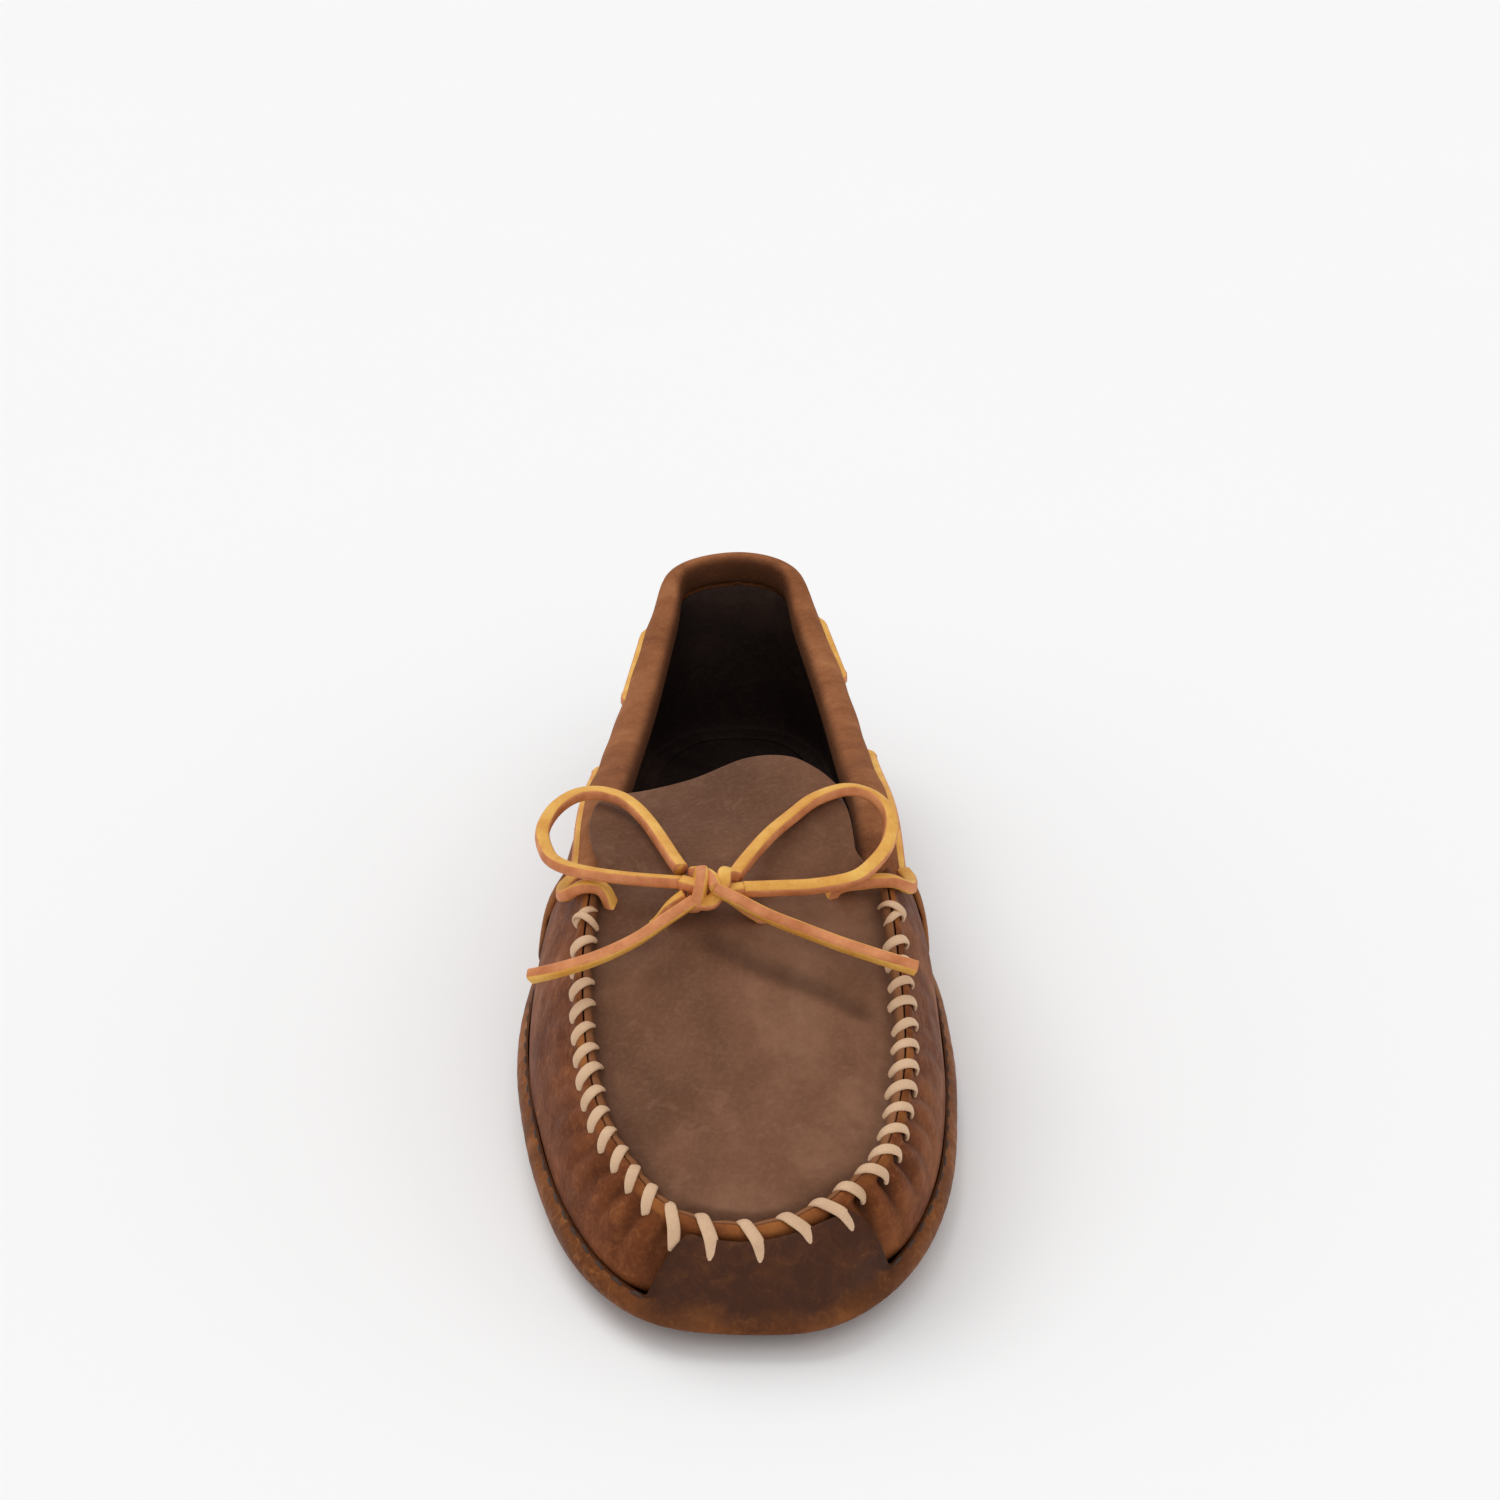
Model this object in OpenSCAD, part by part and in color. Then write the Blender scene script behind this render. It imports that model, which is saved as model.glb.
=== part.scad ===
// Soft leather moccasin for a right foot, with a double bottom, an apron sewn in with whip stitches
// and a rawhide lace that runs through the collar and ties in a bow.
// The toe points to -Y, the inner side of the foot is +X, and the ground is z = 0.

/* [Size] */
// Length of the shoe over the sole rim
shoe_length = 282; // [276:2:288]
// Width of the shoe over the sole rim
shoe_width = 106; // [103:1:109]

/* [Bottom] */
// Thickness of the outer bottom leather
sole_t = 2.5; // [2:0.25:2.5]
// Thickness of the foam pad between the two bottoms
pad_t = 3; // [2:0.5:3]
// Thickness of the insole foam
insole_t = 3; // [2:0.5:3]
// Thickness of the sock liner
sock_t = 1.2; // [0.8:0.1:1.2]

/* [Upper] */
// Thickness of the upper leather
upper_t = 2; // [1.6:0.1:2]
// Thickness of the quarter lining
lining_t = 1.2; // [0.8:0.1:1.2]
// Height of the two sewn edges above the apron
ridge_h = 2.2; // [1.5:0.1:2.5]
// Width of the folded collar
collar_w = 7.5; // [7:0.25:8]
// Height of the folded collar
collar_h = 9; // [8:0.5:10]

/* [Sewing] */
// Number of whip stitches round the apron
stitch_count = 31; // [29:1:33]
// Width of the flat waxed thread
stitch_w = 2.6; // [2.2:0.1:3]
// Diameter of the thin sewing thread
thread_d = 0.8; // [0.6:0.1:0.9]

/* [Lace] */
// Width of the rawhide lace
lace_d = 3.4; // [3:0.1:3.6]

/* [Hidden] */

// The sole rim, from the middle of the toe along the outer side to the heel and back
RIM = [
    [4.5, -141, 9], [-13.5, -139, 9.5], [-25.5, -131, 10], [-35.5, -116, 11], [-43.5, -94, 11.5],
    [-49.5, -66, 12], [-52.5, -38, 12], [-51, -8, 12], [-45.5, 22, 12], [-40.5, 56, 12],
    [-37.5, 90, 12], [-31.5, 118, 12], [-17.5, 136, 12], [1.5, 141, 12], [20.5, 136, 12],
    [33.5, 118, 12], [38.5, 90, 12], [39.5, 56, 12], [44.5, 22, 12], [51.6, -8, 12],
    [53.5, -38, 12], [52.4, -66, 12], [48.8, -94, 11.5], [41.8, -115.6, 11], [31.8, -130.8, 10],
    [19.5, -139.5, 9.5]
];
// The apron seam and the topline, point for point above the rim
EDGE = [
    [2.5, -133.5, 24], [-8.5, -131.5, 24.5], [-16.5, -127, 26], [-23.5, -117.5, 29],
    [-30.2, -104, 32.5], [-34.3, -84, 38.5], [-35.8, -62, 47], [-34.8, -38, 55], [-35, -2, 58],
    [-32.5, 36, 53], [-28, 76, 53], [-22.5, 113, 60.5], [-17.8, 133.5, 67], [1.5, 139.5, 69.5],
    [18.5, 133.5, 67], [24, 113, 60], [31, 76, 53], [35, 36, 53], [37.5, -2, 58], [38, -38, 55],
    [39.5, -60, 47.5], [40, -84, 40], [38, -102, 35], [33.5, -117, 31], [25, -126, 27.5],
    [13.5, -131.5, 25]
];
STATIONS = len(RIM);
HEEL = 13;
STEPS = 4;
// Stations of the side seams, where the vamp meets the quarters
SEAM_LATERAL = 7.06;
SEAM_MEDIAL = 18.9;
SEAM_GAP = 0.02;
// The apron ends and the tongue starts at this many stations from the toe
APRON_END = 6.78;

// Heights of the layers of the bottom
PAD_Z = sole_t + 0.1;
WRAP_Z = PAD_Z + pad_t + 0.1;
INSOLE_Z = WRAP_Z + upper_t + 0.2;
SOCK_Z = INSOLE_Z + insole_t + 0.1;

// The toe tab of the outer bottom is full height to TAB_FULL stations from its middle, and gone at TAB_END
TAB_MIDDLE = -0.4;
TAB_FULL = 1.35;
TAB_END = 1.9;
TAB_T = 2;
TAB_CLEAR = 0.3;
COUNTER_T = 1.2;
LAYER_GAP = 0.2;

// Middle line of the apron, from near the toe to the tongue
APRON_SPINE = [[3, -114, 32], [3, -98, 39], [3, -80, 47], [2.5, -62, 55.5], [2, -43.4, 59.5]];

// Rows of the tongue from its root to its free end, each from the outer side to the inner side
TONGUE = [
    [[-28, -42.4, 57], [-18, -42.4, 58.8], [-6, -42.4, 59.6], [6, -42.4, 59.8], [17, -42.4, 59.6],
     [25, -42.4, 59], [29, -42.4, 58.4]],
    [[-32.5, -34, 59.8], [-21, -33, 60], [-7, -33, 61.4], [6, -33, 63], [17, -33, 64], [25, -33, 63.6],
     [29, -34, 62.4]],
    [[-34.5, -22, 61.3], [-22, -21, 60.8], [-8, -21, 62.6], [5, -21, 66], [16, -22, 67.8],
     [24, -23, 67.4], [28, -25, 66]],
    [[-33.5, -11, 61.6], [-22, -8.5, 60.8], [-9, -9, 64], [4, -9.5, 69], [15, -12.5, 70.8],
     [22.5, -15.5, 69.2], [26.5, -18.5, 66.8]],
    [[-31.5, -6, 61.4], [-22.5, -3, 60.8], [-10, -3.2, 64.2], [3, -3.2, 69.8], [13.5, -6.5, 72],
     [20.5, -11, 71], [25, -15, 69]]
];

// The lace, from where it leaves the collar to the knot
LEAD_LATERAL = [
    [-37.6, -33, 52.5], [-39.6, -38, 52.6], [-39, -43.6, 54], [-34.6, -45.4, 57.4], [-30, -46.2, 57],
    [-27, -48.6, 52.6], [-22, -53, 51.6], [-17.6, -56, 53.4], [-14, -57.2, 58.6], [-10.6, -57, 61.4]
];
LEAD_MEDIAL = [
    [40.8, -31, 52.8], [42, -35.6, 53], [41.2, -41.4, 54.6], [37, -43.8, 57.8], [30, -45.6, 58.4],
    [24, -47, 57.6], [20.4, -49.6, 52.6], [12, -56, 51.8], [5.4, -58.6, 57.6], [0, -57.4, 61.4]
];
LOOP_LATERAL = [
    [-11.8, -48.4, 63.5], [-13.6, -43.5, 63.5], [-15.7, -37.3, 63.5], [-19.6, -27.2, 64],
    [-23.4, -19.8, 64.5], [-27.3, -14.5, 64.5], [-33, -11.4, 64.4], [-38.6, -12.5, 64],
    [-43.1, -18, 63], [-45.2, -26.4, 62], [-44.1, -34, 61.2], [-41.3, -40.3, 61], [-35, -45.1, 61.2],
    [-24.1, -49.8, 62], [-11.6, -53.6, 63]
];
LOOP_MEDIAL = [
    [0.6, -51.6, 63.5], [3.6, -45.4, 64.5], [8.6, -36.7, 66], [14.1, -30.1, 67.6], [19.7, -24.9, 69.4],
    [27.1, -20.2, 69.6], [32.9, -19.6, 68], [36.6, -22.7, 66], [37.7, -28.5, 64.4], [36.3, -36.6, 63.2],
    [32.6, -44.4, 62.5], [27.7, -50.4, 62], [18.9, -53.8, 62], [10.2, -55, 62.2], [2.6, -56, 62.5]
];
TAIL_LATERAL = [
    [-8.8, -60.6, 62], [-15, -65.5, 60], [-21.6, -70, 57.5], [-29.9, -72.7, 54.6], [-38.7, -72.6, 51.4],
    [-45, -70.6, 48.6]
];
TAIL_MEDIAL = [
    [-3.4, -60.6, 65], [2, -63.6, 63.6], [8.3, -66.5, 61.5], [16.7, -68.9, 59], [25.1, -71.4, 56.8],
    [33.7, -73.1, 54.5], [40.9, -73.3, 52]
];
KNOT = [-5.5, -56.4, 62.4];
// The lace is cut back in this band, where the tongue hinges
FOLD_FRONT = -45.6;
FOLD_BACK = -39.4;

// ---- Curves ----

function fit(p) = [p.x * shoe_width / 106, p.y * shoe_length / 282, p.z];
function unit(v) = v / norm(v);
function mix(a, b, t) = a + (b - a) * t;
function clamp01(t) = max(0, min(1, t));
function smooth(t) = let (c = clamp01(t)) c * c * (3 - 2 * c);
function spline4(a, b, c, d, t) =
    0.5 * (2 * b + (c - a) * t + (2 * a - 5 * b + 4 * c - d) * t * t + (3 * b - a - 3 * c + d) * t * t * t);
function ring_at(points, s) = let (n = len(points), i = floor(s), t = s - i)
    spline4(points[(i - 1 + n) % n], points[(i + n) % n], points[(i + 1) % n], points[(i + 2) % n], t);
function line_at(points, s) = let (n = len(points), i = min(floor(s), n - 2), t = s - i)
    spline4(points[max(i - 1, 0)], points[i], points[i + 1], points[min(i + 2, n - 1)], t);

// ---- Side of the shoe ----

function wrap(s) = s < 0 ? s + STATIONS : s >= STATIONS ? s - STATIONS : s;
function rim(s) = fit(ring_at(RIM, wrap(s)));
function edge(s) = fit(ring_at(EDGE, wrap(s)));
function outward(points, s) =
    let (t = fit(ring_at(points, wrap(s + 0.05))) - fit(ring_at(points, wrap(s - 0.05))))
    unit([-t.y, t.x, 0]);
function rim_out(s) = outward(RIM, s);
function edge_out(s) = outward(EDGE, s);
function inset(s, d, z) = let (p = rim(s) - rim_out(s) * d) [p.x, p.y, z];
function valley(s) = inset(s, 3, rim(s).z + 0.5);
function side(s, v) = let (low = valley(s), top = edge(s), rise = top - low,
                           mid = low + [0.15 * rise.x, 0.15 * rise.y, 0.7 * rise.z])
    mix(mix(low, mid, v), mix(mid, top, v), v);
function side_out(s, v) =
    unit(cross(side(s, min(v + 0.02, 1)) - side(s, max(v - 0.02, 0)), side(s + 0.05, v) - side(s - 0.05, v)));
function skin(s, v, d) = side(s, v) + side_out(s, v) * d;
// Share of the side's height that reaches down by drop from its top
function below_top(s, drop) = let (q = 1 - drop / (edge(s).z - valley(s).z)) (1.4 - sqrt(1.96 - 1.6 * q)) / 0.8;
function tab_distance(s) = let (from = wrap(s - TAB_MIDDLE)) min(from, STATIONS - from);
function tab(s) = 1 - smooth((tab_distance(s) - TAB_FULL) / (TAB_END - TAB_FULL));
function steps(from, to, count) = [for (i = [0:count]) mix(from, to, i / count)];

// ---- Solids from rings of points ----

function band_faces(rings, count, closed) = [
    for (i = [0:rings - (closed ? 1 : 2)]) for (j = [0:count - 1])
        let (a = i * count, b = ((i + 1) % rings) * count, k = (j + 1) % count)
        each [[a + j, a + k, b + k], [a + j, b + k, b + j]]
];
function cap_faces(start, count, flip) = [
    for (j = [1:count - 2]) flip ? [start, start + j + 1, start + j] : [start, start + j, start + j + 1]
];
// Closed profiles joined in order; capped at both ends unless the run closes on itself.
// Each profile turns anticlockwise seen from the ring after it.
module loft(profiles, closed = false) {
    rings = len(profiles);
    count = len(profiles[0]);
    polyhedron(
        points = [for (profile = profiles) each profile],
        faces = concat(
            band_faces(rings, count, closed),
            closed ? [] : concat(cap_faces(0, count, true), cap_faces((rings - 1) * count, count, false))
        ),
        convexity = 10
    );
}
// Open profiles round the whole shoe, joined and closed by one flat face at each end of the profile
module cup(profiles) {
    rings = len(profiles);
    count = len(profiles[0]);
    polyhedron(
        points = [for (profile = profiles) each profile],
        faces = concat(
            [for (i = [0:rings - 1]) for (j = [0:count - 2])
                let (a = i * count, b = ((i + 1) % rings) * count)
                each [[a + j, a + j + 1, b + j + 1], [a + j, b + j + 1, b + j]]],
            [[for (i = [0:rings - 1]) i * count]],
            [[for (i = [rings - 1:-1:0]) i * count + count - 1]]
        ),
        convexity = 10
    );
}
// A round cord of diameter d along the points of route, with sides flat sides
module tube(route, d, sides = 8) {
    count = len(route);
    loft([for (i = [0:count - 1])
        let (dir = unit(route[min(i + 1, count - 1)] - route[max(i - 1, 0)]),
             across = unit(cross(dir, abs(dir.z) > 0.9 ? [1, 0, 0] : [0, 0, 1])), up = cross(across, dir))
        [for (k = [0:sides - 1]) route[i] + (across * cos(360 * k / sides) + up * sin(360 * k / sides)) * d / 2]
    ]);
}
// A flat plate with the outline of the rim moved inwards by d
module plate(d, z, thickness) {
    outline = [for (s = steps(0, STATIONS - 1 / STEPS, STATIONS * STEPS - 1)) let (p = inset(s, d, 0)) [p.x, p.y]];
    translate([0, 0, z]) linear_extrude(thickness) polygon(outline);
}
function dense(route, per) = [
    for (i = [0:len(route) - 2]) for (k = [0:per - 1]) fit(line_at(route, i + k / per)),
    fit(route[len(route) - 1])
];

// ---- Bottom ----

// How much the bottom curls up under the toe, from 0 to 1
function toe_curl(s) = 1 - smooth((tab_distance(s) - 1.6) / 2.2);
module outsole() {
    color([0.42, 0.27, 0.16]) cup([
        for (s = steps(0, STATIONS - 1 / STEPS, STATIONS * STEPS - 1))
            let (z = rim(s).z, t = tab(s), top = mix(0.02, 1, t), outer = mix(0.9, 0.4, t), c = toe_curl(s),
                 inner = mix(LAYER_GAP, 0.4 - TAB_T, t))
            [
                inset(s, 12, 0), inset(s, 7 + 3.4 * c, 0.5 + 0.3 * c), inset(s, 2.4 + 3 * c, 3 + 0.3 * c),
                inset(s, 0.3 + 1.5 * c, z * 0.6), inset(s, 0.2, z - 1.5),
                for (v = [0.05, 0.3, 0.55, 0.8, 1]) skin(s, v * top, outer),
                for (v = [1, 0.8, 0.55, 0.3, 0.05]) skin(s, v * top, inner),
                inset(s, mix(3.4, 5.2, t), z * 0.76), inset(s, mix(5.8, 7.2, t), PAD_Z + 1.9),
                inset(s, 10.5, PAD_Z + 0.4), inset(s, 14, sole_t)
            ]
    ]);
}

module sole_pad() {
    color([0.75, 0.7, 0.6]) plate(14, PAD_Z, pad_t);
}

module insole() {
    color([0.8, 0.75, 0.62]) plate(11.5, INSOLE_Z, insole_t);
}

module sock_liner() {
    color([0.2, 0.14, 0.12]) plate(11.5, SOCK_Z, sock_t);
}

// ---- Upper ----

// How far the upper lies inside the side surface, to clear the toe tab
function tuck(s) = -(TAB_T + TAB_CLEAR - 0.4) * (1 - smooth((tab_distance(s) - TAB_FULL - 0.2) / 0.8));

function vamp_profile(s, tall) =
    let (z = rim(s).z, top = tall ? 1 : 0.03, lip = tall ? ridge_h : 0, d = tuck(s),
         out = edge_out(s), peak = skin(s, top, d))
    [
        inset(s, 14, WRAP_Z), inset(s, 9 - d, WRAP_Z + 0.6), inset(s, 4.8 - d * 1.2, mix(WRAP_Z, z, 0.62)),
        for (v = [0.002, 0.2, 0.4, 0.6, 0.8, 1]) skin(s, v * top, d),
        peak + [0, 0, lip + 0.2], peak - out * upper_t + [0, 0, lip + 0.1],
        for (v = [0.8, 0.6, 0.4, 0.2, 0.002]) skin(s, v * top, d - upper_t),
        inset(s, 7 - d * 1.2, mix(WRAP_Z, z, 0.62) + 1.2), inset(s, 10 - d, WRAP_Z + upper_t + 0.1),
        inset(s, 14, WRAP_Z + upper_t)
    ];

module vamp() {
    front = steps(SEAM_MEDIAL, STATIONS + SEAM_LATERAL, (STATIONS + SEAM_LATERAL - SEAM_MEDIAL) * STEPS);
    rear = steps(SEAM_LATERAL + SEAM_GAP, SEAM_MEDIAL - SEAM_GAP, (SEAM_MEDIAL - SEAM_LATERAL) * STEPS);
    color([0.43, 0.27, 0.17]) cup([
        for (s = front) vamp_profile(s, true),
        for (s = rear) vamp_profile(s, false)
    ]);
}

// Part of the side between two depths d, from the share low up to the collar
function side_band(s, low, outer, inner, under = 0.4, lean = 0) =
    let (top = below_top(s, collar_h + under), shares = [0, 0.25, 0.5, 0.75, 1])
    [
        for (k = shares) skin(s - lean * (1 - k), mix(low, top, k), outer),
        for (k = [1, 0.75, 0.5, 0.25, 0]) skin(s - lean * (1 - k), mix(low, top, k), inner)
    ];

QUARTER_START = 2 * SEAM_GAP;
// lean moves the foot of the front edge back, where the vamp's edge slants
module quarter(from, to, lean = 0) {
    loft([for (s = steps(from, to, 6 * STEPS - 1))
        side_band(s, 0.06, 0, -upper_t, lean = lean * (s - from) / (to - from))]);
}

module quarter_lateral() {
    color([0.45, 0.28, 0.17]) quarter(SEAM_LATERAL + QUARTER_START, HEEL - SEAM_GAP);
}

module quarter_medial() {
    color([0.45, 0.28, 0.17]) quarter(HEEL + SEAM_GAP, SEAM_MEDIAL - 0.065, 0.09);
}

COUNTER_FROM = 10.4;
COUNTER_TO = 15.6;
module heel_counter() {
    outer = -upper_t - LAYER_GAP;
    color([0.7, 0.6, 0.45])
        loft([for (s = steps(COUNTER_FROM, COUNTER_TO, 20)) side_band(s, 0.08, outer, outer - COUNTER_T, 4)]);
}

function lining_depth(s) = -upper_t - LAYER_GAP
    - (COUNTER_T + LAYER_GAP) * smooth((s - COUNTER_FROM + 0.8) / 0.6) * smooth((COUNTER_TO + 0.8 - s) / 0.6);

module quarter_lining() {
    color([0.2, 0.14, 0.12])
        loft([for (s = steps(SEAM_LATERAL + 0.1, SEAM_MEDIAL - 0.1, 12 * STEPS))
            side_band(s, 0.08, lining_depth(s), lining_depth(s) - lining_t)]);
}

COLLAR_FROM = 7.1;
COLLAR_TO = 18.86;
function collar_profile(s) =
    let (top = edge(s), out = edge_out(s), low = side(s, below_top(s, collar_h)), w = collar_w)
    [
        low + out * 0.5, mix(low, top, 0.5) + out * 1.2, top + out * 0.3 - [0, 0, 1.8], top - out * 1.8,
        top - out * (w - 1.8), top - out * w - [0, 0, 1.8], top - out * (w + 0.2) - [0, 0, 4.5],
        top - out * w - [0, 0, collar_h]
    ];

module collar() {
    color([0.55, 0.35, 0.22]) loft([for (s = steps(COLLAR_FROM, COLLAR_TO, 48)) collar_profile(s)]);
}

// Strip over the seam at the back of the heel
module back_stay() {
    color([0.4, 0.25, 0.15])
        loft([for (s = steps(HEEL - 0.35, HEEL + 0.35, 6)) side_band(s, 0.08, LAYER_GAP + 1.5, LAYER_GAP, 1.2)]);
}

// ---- Apron and tongue ----

APRON_ROWS = 7;
APRON_COLS = 28;
function apron_middle(a) = fit(line_at(APRON_SPINE, clamp01(a / APRON_END) * (len(APRON_SPINE) - 1)));
// Point of the apron's face: a is the station from the toe, minus on the inner side; r runs from the edge in
function apron_rim(a) =
    let (s = wrap(a), out = edge_out(s), p = skin(s, 1, tuck(s)) - out * (upper_t + 0.35))
    [p.x, p.y, p.z];
function apron_face(a, r) =
    let (s = wrap(a), rim_point = apron_rim(a), dip = rim_point - edge_out(s) * 3 - [0, 0, 0.8],
         middle = apron_middle(abs(a)), flat = mix(dip, middle, r),
         rise = mix(r, sin(90 * pow(r, 0.85)), smooth(abs(a) / 2.5)))
    [flat.x, flat.y, mix(dip.z, middle.z, rise)];
function apron_top(a, row) =
    row == 0 ? apron_rim(a) + [0, 0, ridge_h]
    : row == 1 ? apron_rim(a) - edge_out(wrap(a)) * 2 + [0, 0, ridge_h]
    : apron_face(a, (row - 2) / (APRON_ROWS - 2));
function apron_low(a, row) =
    row == 0 ? apron_rim(a) - [0, 0, 1.2]
    : row == 1 ? apron_rim(a) - edge_out(wrap(a)) * 2 - [0, 0, 2]
    : apron_face(a, (row - 2) / (APRON_ROWS - 2)) - [0, 0, upper_t];

module apron() {
    half = APRON_COLS;
    columns = 2 * half + 1;
    rows = APRON_ROWS;
    span = columns * rows;
    // Index of a point: column i from -half to half, row from 0 at the edge to rows on the middle line
    function at(i, row, low) = (row < rows ? (i + half) * rows + row : span + abs(i))
        + (low ? span + half + 1 : 0);
    function column(i) = i * APRON_END / half;
    color([0.42, 0.28, 0.21]) polyhedron(
        points = concat(
            [for (i = [-half:half]) for (row = [0:rows - 1]) apron_top(column(i), row)],
            [for (i = [0:half]) apron_middle(column(i))],
            [for (i = [-half:half]) for (row = [0:rows - 1]) apron_low(column(i), row)],
            [for (i = [0:half]) apron_middle(column(i)) - [0, 0, upper_t]]
        ),
        faces = concat(
            [for (i = [-half:half - 1]) for (row = [0:rows - 1]) each [
                [at(i, row, false), at(i, row + 1, false), at(i + 1, row + 1, false)],
                [at(i, row, false), at(i + 1, row + 1, false), at(i + 1, row, false)],
                [at(i, row, true), at(i + 1, row + 1, true), at(i, row + 1, true)],
                [at(i, row, true), at(i + 1, row, true), at(i + 1, row + 1, true)]
            ]],
            [for (i = [-half:half - 1]) each [
                [at(i, 0, true), at(i, 0, false), at(i + 1, 0, false)],
                [at(i, 0, true), at(i + 1, 0, false), at(i + 1, 0, true)]
            ]],
            [for (row = [0:rows - 1]) each [
                [at(-half, row, true), at(-half, row + 1, true), at(-half, row + 1, false)],
                [at(-half, row, true), at(-half, row + 1, false), at(-half, row, false)],
                [at(half, row, true), at(half, row, false), at(half, row + 1, false)],
                [at(half, row, true), at(half, row + 1, false), at(half, row + 1, true)]
            ]]
        ),
        convexity = 10
    );
}

function tongue_at(u, w) = fit(line_at([for (row = TONGUE) line_at(row, w * (len(row) - 1))],
                                       u * (len(TONGUE) - 1)));
module tongue() {
    across = steps(0, 1, 14);
    color([0.43, 0.33, 0.27]) loft([
        for (u = steps(0, 1, 14)) [
            for (w = across) tongue_at(u, 1 - w) - [0, 0, upper_t],
            for (w = across) tongue_at(u, w)
        ]
    ]);
}

// ---- Sewing ----

// One flat stitch over the two sewn edges, leaning along the seam by lean and raised by lift
function near_toe(s) = smooth((2.6 - abs(s + 0.2)) / 1.6);
module whip_stitch(s, lean, lift = 0) {
    out = edge_out(wrap(s)) * mix(0.85, 1.1, near_toe(s));
    along = unit(edge(s + 0.1) - edge(s - 0.1));
    base = skin(wrap(s), 1, tuck(wrap(s)));
    high = ridge_h + 1.1 + lift;
    route = [
        base + out * 1.5 - [0, 0, 0.6] - along * lean, base + out * 0.9 + [0, 0, high * 0.75] - along * lean * 0.6,
        base - out * 0.6 + [0, 0, high + 0.2] - along * lean * 0.2,
        base - out * 3 + [0, 0, high + 0.1] + along * lean * 0.4,
        base - out * 4.4 + [0, 0, high * 0.6] + along * lean * 0.8, base - out * 5 + [0, 0, 0.6] + along * lean
    ];
    loft([for (i = [0:len(route) - 1])
        let (dir = unit(route[min(i + 1, 5)] - route[max(i - 1, 0)]), wide = unit(along - dir * (along * dir)),
             up = cross(dir, wide), a = wide * stitch_w / 2, b = up * 0.45)
        [route[i] - a * 0.7 + b, route[i] - a, route[i] - a * 0.7 - b, route[i] + a * 0.7 - b, route[i] + a,
         route[i] + a * 0.7 + b]
    ]);
}

// Stitches are spaced wider at the toe: the seam is summed in short steps, which count for less there
STITCH_FROM = 6.12;
SUM_STEPS = 120;
SEAM_SUM = [
    for (i = 0, sum = 0; i <= SUM_STEPS;
         i = i + 1, sum = sum + norm(edge(stitch_step(i)) - edge(stitch_step(i - 1))) / stitch_gap(stitch_step(i)))
        [sum, stitch_step(i)]
];
function stitch_gap(s) = 1 + 0.7 * exp(-pow((s + 0.2) / 1.4, 2));
function stitch_step(i) = mix(-STITCH_FROM, STITCH_FROM, i / SUM_STEPS);
module apron_stitches() {
    color([0.74, 0.6, 0.46]) for (i = [0:stitch_count - 1])
        let (s = lookup(SEAM_SUM[SUM_STEPS][0] * i / (stitch_count - 1), SEAM_SUM))
            whip_stitch(s, mix(1.5, 3.2, near_toe(s)));
}

// Two stitches that cross, one over the other
module tie_off(s) {
    whip_stitch(s, 2.2);
    whip_stitch(s, -2.2, 1.3);
}

module tie_off_lateral() {
    color([0.74, 0.6, 0.46]) tie_off(6.48);
}

module tie_off_medial() {
    color([0.74, 0.6, 0.46]) tie_off(-6.48);
}

// Thread of the seam that holds the two bottoms together, in the valley behind the rim
module sole_seam_thread() {
    color([0.25, 0.16, 0.1])
        tube([for (s = steps(TAB_MIDDLE + TAB_END + 0.2, STATIONS + TAB_MIDDLE - TAB_END - 0.2, 84))
            inset(s, 2, rim(s).z + 1)], thread_d, 6);
}

// Thread that holds the folded collar
module collar_thread() {
    color([0.35, 0.22, 0.14])
        tube([for (s = steps(COLLAR_FROM + 0.1, COLLAR_TO - 0.1, 48)) skin(s, below_top(s, collar_h + 2), 0.2)],
             thread_d, 6);
}

// ---- Lace ----

// The lace shows outside the collar between these stations, and runs inside it elsewhere
LACE_SHOWS = [[7.18, 8.85], [10, 10.85], [14.95, 15.7], [16.85, 18.8]];
function lace_shown(s) = max([for (span = LACE_SHOWS) smooth((s - span[0] + 0.12) / 0.12) * smooth((span[1] + 0.12 - s) / 0.12)]);
function collar_lace_at(s) = let (shown = lace_shown(s), out = edge_out(s))
    edge(s) - out * mix(3.8, -2.8, shown) - [0, 0, 4.6];

module collar_lace() {
    color([0.85, 0.62, 0.26])
        tube([for (s = steps(COLLAR_FROM + 0.05, COLLAR_TO - 0.05, 64)) collar_lace_at(s)], lace_d);
}

module lace_lead_lateral() {
    color([0.85, 0.62, 0.26]) tube(dense(LEAD_LATERAL, 1), lace_d);
}

module lace_lead_medial() {
    color([0.85, 0.62, 0.26]) tube(dense(LEAD_MEDIAL, 1), lace_d);
}

// The crossing of the bow: a band of lace round the two strands that it holds
module lace_knot() {
    band = [for (i = [0:12]) let (a = 360 * i / 12)
        fit(KNOT) + [2.6 * sin(a) * 0.4, 4.6 * cos(a), 3.1 * sin(a) + 0.3]];
    color([0.82, 0.58, 0.27]) {
        loft([for (i = [0:11])
            let (p = band[i], out = unit(p - fit(KNOT)), side = [1, 0, 0])
            [p - side * 1.9 - out * 1.3, p + side * 1.9 - out * 1.3, p + side * 1.9 + out * 1.3,
             p - side * 1.9 + out * 1.3]], closed = true);
    }
}

function behind_fold(route) = [for (p = route) if (p.y > FOLD_BACK) p];
module lace_loop_lateral() {
    color([0.85, 0.62, 0.26]) tube(behind_fold(dense(LOOP_LATERAL, 2)), lace_d);
}

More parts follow.
